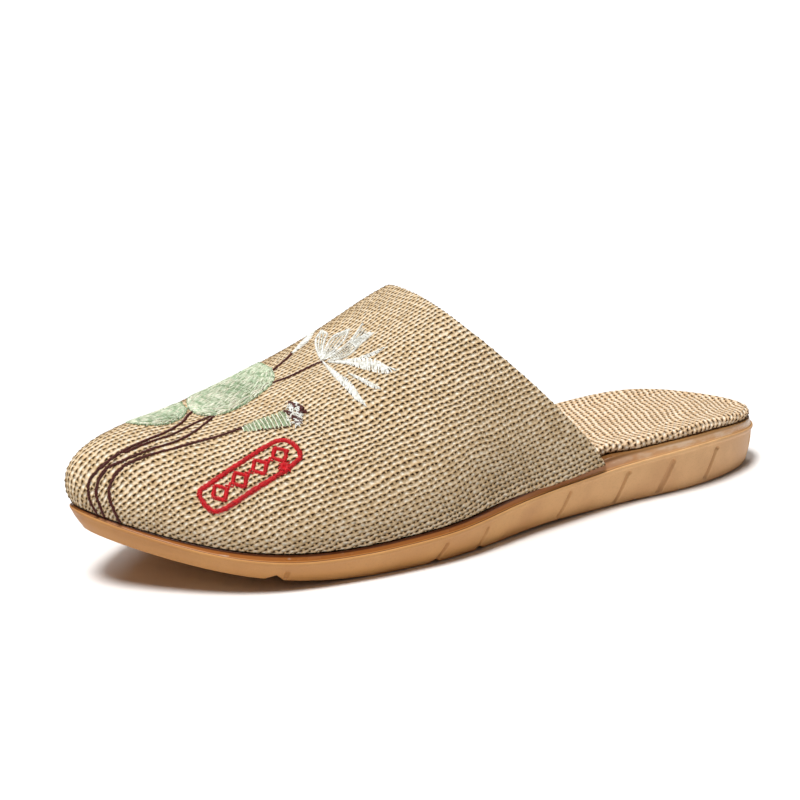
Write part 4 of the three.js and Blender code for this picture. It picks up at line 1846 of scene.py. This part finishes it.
# Filled petals: two edges, distance between stitches, their lean and their height
FULL_PETALS: tuple[tuple[Points, Points, float, float, float], ...] = (
    (
        ((29.4, -9.3), (26.0, -9.5), (22.0, -11.7)),
        ((31.0, -15.7), (27.6, -15.0), (22.1, -13.6)),
        0.5,
        0.2,
        0.42,
    ),
    (
        ((39.1, -15.5), (33.4, -21.2), (28.0, -23.4), (24.1, -25.5)),
        ((39.5, -16.2), (33.9, -23.4), (28.5, -25.5), (24.1, -25.5)),
        0.5,
        0.05,
        0.42,
    ),
    (
        ((41.0, -12.8), (36.0, -20.3), (32.1, -23.2), (29.5, -28.4), (28.5, -34.1), (27.3, -37.1)),
        ((41.3, -13.4), (37.3, -22.3), (35.4, -28.5), (32.9, -33.4), (30.1, -36.4), (27.3, -37.1)),
        0.38,
        0.08,
        0.5,
    ),
    (
        ((40.0, -26.6), (38.1, -31.4), (36.6, -36.4), (35.9, -40.3)),
        ((40.1, -27.0), (39.4, -31.6), (38.1, -37.5), (35.9, -40.3)),
        0.38,
        0.08,
        0.5,
    ),
    (
        ((41.6, -10.8), (42.2, -22.4), (41.8, -29.6), (42.6, -35.8), (43.9, -43.3)),
        ((42.1, -11.2), (44.3, -23.2), (44.9, -30.7), (45.1, -38.3), (43.9, -43.3)),
        0.38,
        0.08,
        0.5,
    ),
    (
        ((44.8, 9.8), (39.6, 14.7), (34.1, 19.4), (29.3, 21.7)),
        ((45.0, 8.7), (40.4, 10.2), (35.3, 12.8), (29.3, 21.7)),
        0.45,
        0.1,
        0.42,
    ),
)
POD_TOP: Points = ((81.3, -25.1), (75.8, -25.2), (71.0, -26.1), (66.0, -27.1))
POD_LOW: Points = ((81.9, -27.8), (77.7, -30.8), (73.6, -33.0), (68.5, -35.8))
SEED_MARKS: tuple[Points, ...] = (
    ((62.9, -24.8), (62.4, -26.6), (62.9, -29.0)),
    ((61.5, -28.6), (61.2, -30.0), (61.6, -31.6)),
    ((66.6, -28.0), (65.9, -29.2), (65.4, -30.6)),
    ((65.9, -32.2), (65.2, -34.0), (64.4, -35.3)),
    ((63.2, -32.2), (61.9, -32.5), (61.0, -33.0)),
    ((66.6, -35.2), (66.0, -35.8), (65.2, -36.0)),
)
FRAME: Points = (
    (106.4, -40.3), (102.0, -40.2), (90.0, -39.1), (76.5, -38.2), (73.5, -39.4), (72.0, -42.0),
    (71.8, -45.3), (72.6, -47.6), (75.0, -48.4), (79.8, -49.2), (89.9, -49.5), (100.0, -49.8),
    (104.5, -49.5), (106.9, -48.1), (107.8, -45.0), (107.6, -41.8),
)


def spot_at(line: Array, places: Array, at: Array | float) -> Array:
    """Returns points of a line whose own points lie at places."""
    return np.stack([np.interp(at, places, line[:, k]) for k in (0, 1)], -1)


@dataclass(frozen=True)
class Stitch:
    """A straight stitch: where the thread comes up and goes down, its colour and its height."""

    start: Array
    end: Array
    colour: Colour
    height: float


@dataclass
class Embroidery:
    """Water-lily leaves, blossom, bud, seed head and a red frame, stitched on the chart."""

    chart: Flattening
    offset: Array
    thread_radius: float = 0.2
    sides: int = 5
    guide_step: float = 1.3
    stitches: list[Stitch] = field(default_factory=list)
    seed: int = 17

    def __post_init__(self) -> None:
        """Starts the random numbers."""
        self.random = np.random.default_rng(self.seed)

    def stitch(self, start: Array, end: Array, thread: Thread, height: float = 0.35) -> None:
        """Adds one stitch.

        Args:
            start: Where the thread comes up.
            end: Where it goes down.
            thread: Its colour.
            height: How high it lies above the cloth.
        """
        tint = self.random.uniform(0.88, 1.06)
        colour = tuple(min(value * tint, 1.0) for value in linear(thread.value)[:3]) + (1.0,)
        self.stitches.append(Stitch(start, end, colour, height))

    def satin(
        self,
        path: Array,
        half: Array | float,
        thread: Thread,
        slant: float,
        step: float,
        height: float,
        ragged: float,
    ) -> None:
        """Lays stitches side by side across a path.

        Args:
            path: The middle line's points.
            half: Half the band's width, at each point or all along.
            thread: Thread colour.
            slant: How far a stitch leans along the path, as a share of its length.
            step: Distance between stitches.
            height: How high they lie.
            ragged: How much the stitches' lengths vary, as a share.
        """
        lengths = run_lengths(path)
        count = max(int(lengths[-1] / step), 2)
        places = np.linspace(0, lengths[-1], count)
        centre = spot_at(path, lengths, places)
        width = np.interp(places, lengths, np.broadcast_to(half, len(path)))
        run = np.gradient(centre, axis=0)
        run /= np.linalg.norm(run, axis=1, keepdims=True)
        across = np.column_stack([-run[:, 1], run[:, 0]])
        for n in range(count):
            wide = width[n] * self.random.uniform(1 - ragged, 1 + ragged)
            reach = across[n] * wide + run[n] * slant * width[n]
            self.stitch(centre[n] - reach, centre[n] + reach, thread, height)

    @staticmethod
    def smooth_path(points: Points, count: int = 60, closed: bool = False) -> Array:
        """Returns a smooth curve through points.

        Args:
            points: The points.
            count: How many points to return.
            closed: Whether the curve returns to its start.

        Returns:
            Points on the curve.
        """
        rows = np.array(points + (points[0],) if closed else points, float)
        length = run_lengths(rows)
        table = tuple(map(tuple, np.column_stack([length, rows])))
        at = np.linspace(0, length[-1], count)
        return np.column_stack([through(table, 1, at), through(table, 2, at)])

    def stem(self, points: Points, half: float, foot: float) -> None:
        """Sews a brown stem along points."""
        path = self.smooth_path(points)
        self.satin(path, np.linspace(half, foot, len(path)), Thread.BROWN, 1.3, 0.55, 0.45, 0.5)

    def fill(
        self, first: Points, second: Points, thread: Thread, step: float, lean: float, height: float
    ) -> None:
        """Lays stitches side by side from one edge to the other.

        Args:
            first: Points along the edge where the stitches start.
            second: Points along the edge where they end.
            thread: Thread colour.
            step: Distance between stitches.
            lean: How far each stitch leads towards the tip, as a share of the edge.
            height: How high they lie.
        """
        count = 120
        left, right = self.smooth_path(first, count), self.smooth_path(second, count)
        length = run_lengths((left + right) / 2)[-1]
        for t in np.linspace(0, 1, max(int(length / step), 2)):
            shift = self.random.uniform(-0.02, 0.02)
            start, end = (
                spot_at(edge, np.arange(count), min(max(at, 0.0), 1.0) * (count - 1))
                for edge, at in ((left, t - lean / 2 + shift), (right, t + lean / 2 - shift))
            )
            self.stitch(start, end, thread, height)

    def open_petal(self, left: Points, right: Points, veins: int) -> None:
        """Sews a light petal: its two edges, and fine grey and white veins between them.

        Args:
            left: Points along one edge, from the root to the tip.
            right: Points along the other edge, the same way.
            veins: How many veins it has.
        """
        edges = self.smooth_path(left), self.smooth_path(right)
        for edge in edges:
            self.satin(edge, 0.34, Thread.WHITE, 1.4, 0.5, 0.42, 0.3)
        for n in range(veins):
            share = (n + 1) / (veins + 1)
            vein = edges[0] * (1 - share) + edges[1] * share
            self.satin(vein[4:-4], 0.14, Thread.GREY if n % 2 else Thread.WHITE, 1.5, 0.7, 0.4, 0.3)

    def leaf(self, low: Points, high: Points, lines: int, dense: float) -> None:
        """Sews a leaf: cross stitches under it, long lines between its edges and a rim of short stitches.

        Args:
            low: Points along its lower edge, from its point to its blunt end.
            high: Points along its upper edge, the same way.
            lines: How many long lines it has.
            dense: Share of the length after which extra stitches close it.
        """
        count = 80
        first, second = self.smooth_path(low, count), self.smooth_path(high, count)
        length = run_lengths((first + second) / 2)[-1]
        for place in np.linspace(1.5, count - 2.5, int(length / 0.42)):
            start, end = (spot_at(edge, np.arange(count), place) for edge in (first, second))
            inset = (end - start) * 0.04
            thread = Thread.SAGE if self.random.random() < 0.6 else Thread.GREEN
            self.stitch(start + inset, end - inset, thread, 0.3)
        for n in range(lines):
            share = (n + 0.5) / lines
            self.long_line(first * (1 - share) + second * share, dense)
        blunt = first[-1] + (second[-1] - first[-1]) * np.linspace(0, 1, count)[:, None]
        self.rim(first, second, 0.75, False)
        self.rim(second, first, 0.6, False)
        self.rim(blunt, blunt + (first[60] - first[-1]), 0.5, True)

    def long_line(self, line: Array, dense: float) -> None:
        """Sews one of a leaf's lines as long stitches end to end.

        Args:
            line: The line's points from the leaf's point.
            dense: Share of the length after which each stitch has another beside it.
        """
        lengths = run_lengths(line)
        at = 0.3 + 1.6 * self.random.random()
        while at < lengths[-1] - 0.6:
            to = min(at + self.random.uniform(2.6, 5.2), lengths[-1])
            start, end = spot_at(line, lengths, at), spot_at(line, lengths, to)
            far = at / lengths[-1]
            pick = self.random.random() + 0.3 * max(far - dense, 0)
            thread = Thread.PALE_GREEN if pick < 0.5 else Thread.SAGE if pick < 0.82 else Thread.GREEN
            self.stitch(start, end, thread, 0.42)
            if far > dense or self.random.random() < 0.1:
                aside = self.random.uniform(-0.4, 0.4, 2)
                self.stitch(start + aside, end + aside, Thread.SAGE, 0.44)
            at = to + self.random.uniform(0.3, 1.2)

    def rim(self, edge: Array, other: Array, step: float, blunt: bool) -> None:
        """Sews short stitches inwards from a leaf's edge, darker towards its blunt end.

        Args:
            edge: The edge's points.
            other: Points that the stitches lean towards.
            step: Distance between stitches.
            blunt: Whether this is the blunt end itself.
        """
        last = len(edge) - 1
        places = np.arange(last + 1)
        for place in np.linspace(0, last, max(int(run_lengths(edge)[-1] / step), 2)):
            spot = spot_at(edge, places, place)
            inside = spot_at(other, places, place) - spot
            ahead = edge[min(int(place) + 1, last)] - edge[max(int(place) - 1, 0)]
            inside /= max(float(np.linalg.norm(inside)), TINY)
            ahead /= max(float(np.linalg.norm(ahead)), TINY)
            reach = inside * self.random.uniform(0.5, 1.5)
            dark = 0.05 + 0.3 * (1.0 if blunt else place / last)
            thread = Thread.DEEP_GREEN if self.random.random() < dark else Thread.GREEN
            self.stitch(spot, spot + reach + ahead * self.random.uniform(0.2, 1.3), thread, 0.45)

    def seed_pod(self) -> None:
        """Sews the green pod and its brown and white seed head."""
        self.fill(POD_TOP, POD_LOW, Thread.GREEN, 0.5, 0.02, 0.38)
        self.fill(POD_TOP, POD_LOW, Thread.PALE_GREEN, 1.25, 0.02, 0.52)
        self.satin(self.smooth_path(POD_LOW)[18:], 0.2, Thread.BROWN, 1.6, 1.0, 0.5, 0.4)
        for _ in range(120):
            down, aside = self.random.uniform(-1, 1), self.random.uniform(-1, 1)
            wide = 3.0 * math.sqrt(max(1 - down * down, 0.0))
            spot = np.array([64.5 + 2.0 * down + wide * aside, -31.2 - 5.4 * down])
            lean = np.array([self.random.uniform(0.2, 0.9), self.random.uniform(-1.2, 1.2)])
            thread = Thread.WHITE if self.random.random() < 0.8 else Thread.GREY
            self.stitch(spot - lean, spot + lean, thread, 0.45)
        for mark in SEED_MARKS:
            self.satin(self.smooth_path(mark, 12), 0.75, Thread.BROWN, 0.5, 0.36, 0.65, 0.35)

    def frame_with_diamonds(self) -> None:
        """Sews the long red frame, a plain row of open diamonds in it and a knot of stitches."""
        self.satin(self.smooth_path(FRAME, 200, True), 0.8, Thread.RED, 0.7, 0.5, 0.55, 0.22)
        corners = np.array([[-2.7, 0.0], [0.0, 3.0], [2.7, 0.0], [0.0, -3.0], [-2.7, 0.0]])
        for n in range(4):
            centre = np.array([77.8 + 7.9 * n, -43.3 - 0.42 * n])
            self.satin(corners + centre, 0.62, Thread.RED, 0.5, 0.42, 0.5, 0.2)
            if n < 3:
                spot = centre + np.array([3.95, -0.2])
                for lean in (np.array([0.9, 0.9]), np.array([0.9, -0.9])):
                    self.stitch(spot - lean, spot + lean, Thread.RED, 0.55)
                    self.stitch(spot - lean + 0.25, spot + lean + 0.25, Thread.RED, 0.5)
        knot = np.array([79.0, -48.0])
        for angle in np.arange(0, 2 * math.pi, math.pi / 10):
            reach = np.array([math.cos(angle), math.sin(angle)]) * self.random.uniform(1.3, 2.7)
            self.stitch(knot, knot + reach, Thread.RED, 0.75)

    def draw(self) -> None:
        """Lays out the whole motif."""
        for leaf in LEAVES:
            self.leaf(*leaf)
        for stem in STEMS:
            self.stem(*stem)
        for petal in OPEN_PETALS:
            self.open_petal(*petal)
        for first, second, step, lean, height in FULL_PETALS:
            self.fill(first, second, Thread.WHITE, step, lean, height)
        self.seed_pod()
        self.frame_with_diamonds()

    def guides(self) -> tuple[Array, list[tuple[int, int]], Array]:
        """Lays the stitches' guide lines on the slipper.

        Returns:
            Their points, edges and colours.
        """
        flat, height, colours, edges = [], [], [], []
        for stitch in self.stitches:
            run = stitch.end - stitch.start
            count = max(4, int(float(np.linalg.norm(run)) / self.guide_step) + 2)
            base = len(flat)
            for t in np.arange(count) / (count - 1):
                flat.append(stitch.start + run * t)
                height.append(stitch.height * min(1.0, 3.2 * min(t, 1 - t) + 0.05) - 0.05)
                colours.append(stitch.colour)
            edges += [(base + n, base + n + 1) for n in range(count - 1)]
        points = self.chart.lift(np.array(flat), np.array(height))
        on_cloth = ~np.isnan(points[:, 0])
        kept = [edge for edge in edges if on_cloth[edge[0]] and on_cloth[edge[1]]]
        return np.nan_to_num(points), kept, np.array(colours)

    def tree(self, material: Material) -> NodeTree:
        """Builds the node tree that turns guide lines into threads.

        Args:
            material: The thread's material.

        Returns:
            The tree.
        """
        tree = bpy.data.node_groups.new("threads on guide lines", "GeometryNodeTree")
        tree.interface.new_socket("Geometry", in_out="INPUT", socket_type="NodeSocketGeometry")
        tree.interface.new_socket("Thread Radius", in_out="INPUT", socket_type="NodeSocketFloat")
        tree.interface.new_socket("Sides", in_out="INPUT", socket_type="NodeSocketInt")
        tree.interface.new_socket("Geometry", in_out="OUTPUT", socket_type="NodeSocketGeometry")
        nodes, links = tree.nodes, tree.links
        given, result = nodes.new("NodeGroupInput"), nodes.new("NodeGroupOutput")
        kinds = ("MeshToCurve", "CurveToMesh", "SetShadeSmooth", "RealizeInstances", "SetMaterial")
        steps = [nodes.new(f"GeometryNode{kind}") for kind in kinds]
        chain = [given, *steps, result]
        for before, after in zip(chain, chain[1:]):
            links.new(before.outputs[0], after.inputs[0])
        ring = nodes.new("GeometryNodeCurvePrimitiveCircle")
        links.new(given.outputs["Thread Radius"], ring.inputs["Radius"])
        links.new(given.outputs["Sides"], ring.inputs["Resolution"])
        links.new(ring.outputs["Curve"], steps[1].inputs["Profile Curve"])
        steps[1].inputs["Fill Caps"].default_value = True
        steps[-1].inputs["Material"].default_value = material
        return tree

    def piece(self, material: Material) -> Object:
        """Builds the embroidery as one mesh of threads.

        Args:
            material: The thread's material.

        Returns:
            The embroidery's object.
        """
        self.draw()
        points, edges, colours = self.guides()
        mesh = bpy.data.meshes.new("stitch_guides")
        mesh.from_pydata(((points + self.offset) * MM).tolist(), edges, [])
        layer = mesh.attributes.new("thread", "FLOAT_COLOR", "POINT")
        layer.data.foreach_set("color", colours.astype(np.float32).ravel())
        values = {"Thread Radius": self.thread_radius * MM, "Sides": self.sides}
        source = placed("stitch_guides", mesh)
        return from_nodes(source, self.tree(material), values, "embroidery")


def from_nodes(
    source: Object, tree: NodeTree, values: dict[str, float], name: str
) -> Object:
    """Runs a geometry node tree on an object and keeps the result as a plain mesh.

    Args:
        source: The object, removed afterwards.
        tree: The node tree.
        values: Input values by name.
        name: The new object's name.

    Returns:
        The new object.
    """
    modifier = source.modifiers.new("nodes", "NODES")
    modifier.node_group = tree
    for item in tree.interface.items_tree:
        if item.item_type == "SOCKET" and item.in_out == "INPUT" and item.name in values:
            modifier[item.identifier] = values[item.name]
    graph = bpy.context.evaluated_depsgraph_get()
    mesh = bpy.data.meshes.new_from_object(source.evaluated_get(graph), depsgraph=graph)
    mesh.name = name
    bpy.data.objects.remove(source)
    return placed(name, mesh)


@dataclass(frozen=True)
class Studio:
    """The floor, the lights and the camera that sees the slipper as the photograph does."""

    offset: Array
    azimuth: float = math.radians(-25.671)
    elevation: float = math.radians(15.747)
    roll: float = math.radians(2.601)
    focal: float = 2583.0
    distance: float = 925.5
    origin_pixel: tuple[float, float] = (426.552, 516.398)
    frame_pixels: float = 800.0
    sensor: float = 36.0
    floor_half: float = 3.0
    surround: tuple[float, float] = (0.01, 0.14)

    def axes(self) -> tuple[Array, Array, Array]:
        """Works out how the camera is turned.

        Returns:
            Its right, up and back directions before its roll.
        """
        a, e = self.azimuth, self.elevation
        back = np.array([math.sin(a) * math.cos(e), -math.cos(a) * math.cos(e), math.sin(e)])
        right = np.array([math.cos(a), math.sin(a), 0.0])
        return right, np.cross(back, right), back

    def camera(self) -> Object:
        """Places the camera.

        Returns:
            The camera's object.
        """
        right, up, back = self.axes()
        half = self.frame_pixels / 2
        x = (self.origin_pixel[0] - half) / self.focal * self.distance
        y = (half - self.origin_pixel[1]) / self.focal * self.distance
        place = (back * self.distance - right * x - up * y + self.offset) * MM
        cos, sin = math.cos(self.roll), math.sin(self.roll)
        rolled_right, rolled_up = right * cos - up * sin, right * sin + up * cos
        data = bpy.data.cameras.new("camera")
        data.sensor_width = self.sensor
        data.sensor_fit = "HORIZONTAL"
        data.lens = self.focal / self.frame_pixels * self.sensor
        data.clip_start, data.clip_end = 0.05, 20.0
        made = placed("camera", data)
        turn = Matrix([rolled_right, rolled_up, back]).transposed().to_4x4()
        made.matrix_world = Matrix.Translation(Vector(place)) @ turn
        bpy.context.scene.camera = made
        return made

    def floor(self) -> Object:
        """Lays the floor.

        Returns:
            The floor's object.
        """
        size = self.floor_half
        mesh = bpy.data.meshes.new("floor")
        corners = [(-size, -size, 0), (size, -size, 0), (size, size, 0), (-size, size, 0)]
        mesh.from_pydata(corners, [], [(0, 1, 2, 3)])
        mesh.materials.append(FloorFinish().material())
        made = placed("floor", mesh)
        return made

    def light(self, name: str, towards: Array, softness: float, strength: float) -> None:
        """Hangs an even white light.

        Args:
            name: The light's name.
            towards: Direction from the slipper to the light.
            softness: Angle that the light spans, in degrees.
            strength: Its strength.
        """
        data = bpy.data.lights.new(name, "SUN")
        data.angle, data.energy = math.radians(softness), strength
        placed(name, data).rotation_euler = Vector(towards).to_track_quat("Z", "Y").to_euler()

    def lights(self) -> None:
        """Hangs the studio's soft lights and sets the pale surround."""
        right, _, back = self.axes()
        level = np.array([back[0], back[1], 0.0]) / math.hypot(back[0], back[1])
        key = np.array([0.0, 0.0, 1.0]) - 0.18 * right + 0.3 * level
        behind = np.array([0.0, 0.0, 0.75]) - 0.1 * right - 0.9 * level
        self.light("key", key, 20.0, 4.05)
        self.light("behind", behind, 30.0, 1.0)
        world = bpy.data.worlds.new("surround")
        world.use_nodes = True
        sheet = NodeSheet(world.node_tree)
        towards = sheet.add("ShaderNodeTexCoord").outputs["Generated"]
        up = sheet.add("ShaderNodeSeparateXYZ", {0: towards}).outputs[2]
        background = world.node_tree.nodes["Background"]
        background.inputs["Color"].default_value = linear("ffffff")
        sheet.put(sheet.span(up, 0.0, 0.9, *self.surround), background.inputs["Strength"])
        bpy.context.scene.world = world
        bpy.context.scene.view_settings.view_transform = "Standard"


# Light is the weave's painted highlight colour; shade and gap are its painted shade colours
LINEN = WovenFinish("natural_linen", light="fff4de", body="dec298", shade="a27842", gap="2c1404")
FOOTBED = WovenFinish(
    "woven_footbed",
    light="fff2de",
    body="e8c8a0",
    shade="b08454",
    gap="3e1c08",
    rib_width=0.45,
    sway=0.06,
    gap_shade_high=0.52,
)


def triangles(piece: Object) -> int:
    """Returns how many triangles an object has."""
    return sum(len(face.vertices) - 2 for face in piece.data.polygons)


def main() -> None:
    """Builds the slipper's looks piece by piece."""
    logging.basicConfig(level=logging.INFO, format="%(name)s: %(message)s")
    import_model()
    last = Last()
    fine = np.linspace(0, math.pi, 4001)
    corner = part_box("sole")[0]
    low = np.array([-last.length / 2, last.lip(fine, -1)[:, 1].min()])
    offset = np.array([float(corner[0]) / MM - low[0], float(corner[1]) / MM - low[1], 0.0])
    studio = Studio(offset)
    studio.camera()
    studio.floor()
    studio.lights()
    LOG.info("camera, floor and lights placed")
    shop = Workshop()
    shape = VampShape(last)
    chart = Flattening(shape)
    vamp = Vamp(shape, chart, LINEN, offset)
    outer, inner = vamp.cloth(LINEN.material(shop))
    lining = vamp.lining(LiningFinish().material())
    for piece in (outer, inner, lining):
        LOG.info("vamp: %s has %d triangles", piece.name, triangles(piece))
    pad = Insole(last, FOOTBED, offset).piece(FOOTBED.material(shop))
    LOG.info("insole: %d triangles", triangles(pad))
    sole = Sole(last, offset).piece(RubberFinish().material(shop))
    LOG.info("sole: %d triangles", triangles(sole))
    threads = Embroidery(chart, offset).piece(ThreadFinish().material())
    LOG.info("embroidery: %d triangles", triangles(threads))
    slots = {outer: "upper", inner: "upper", lining: "upper", pad: "insole", sole: "sole", threads: "upper"}
    for piece, slot in slots.items():
        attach(piece, BODY)
    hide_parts("upper")
    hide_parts("insole")
    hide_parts("sole")


if __name__ == "__main__":
    main()
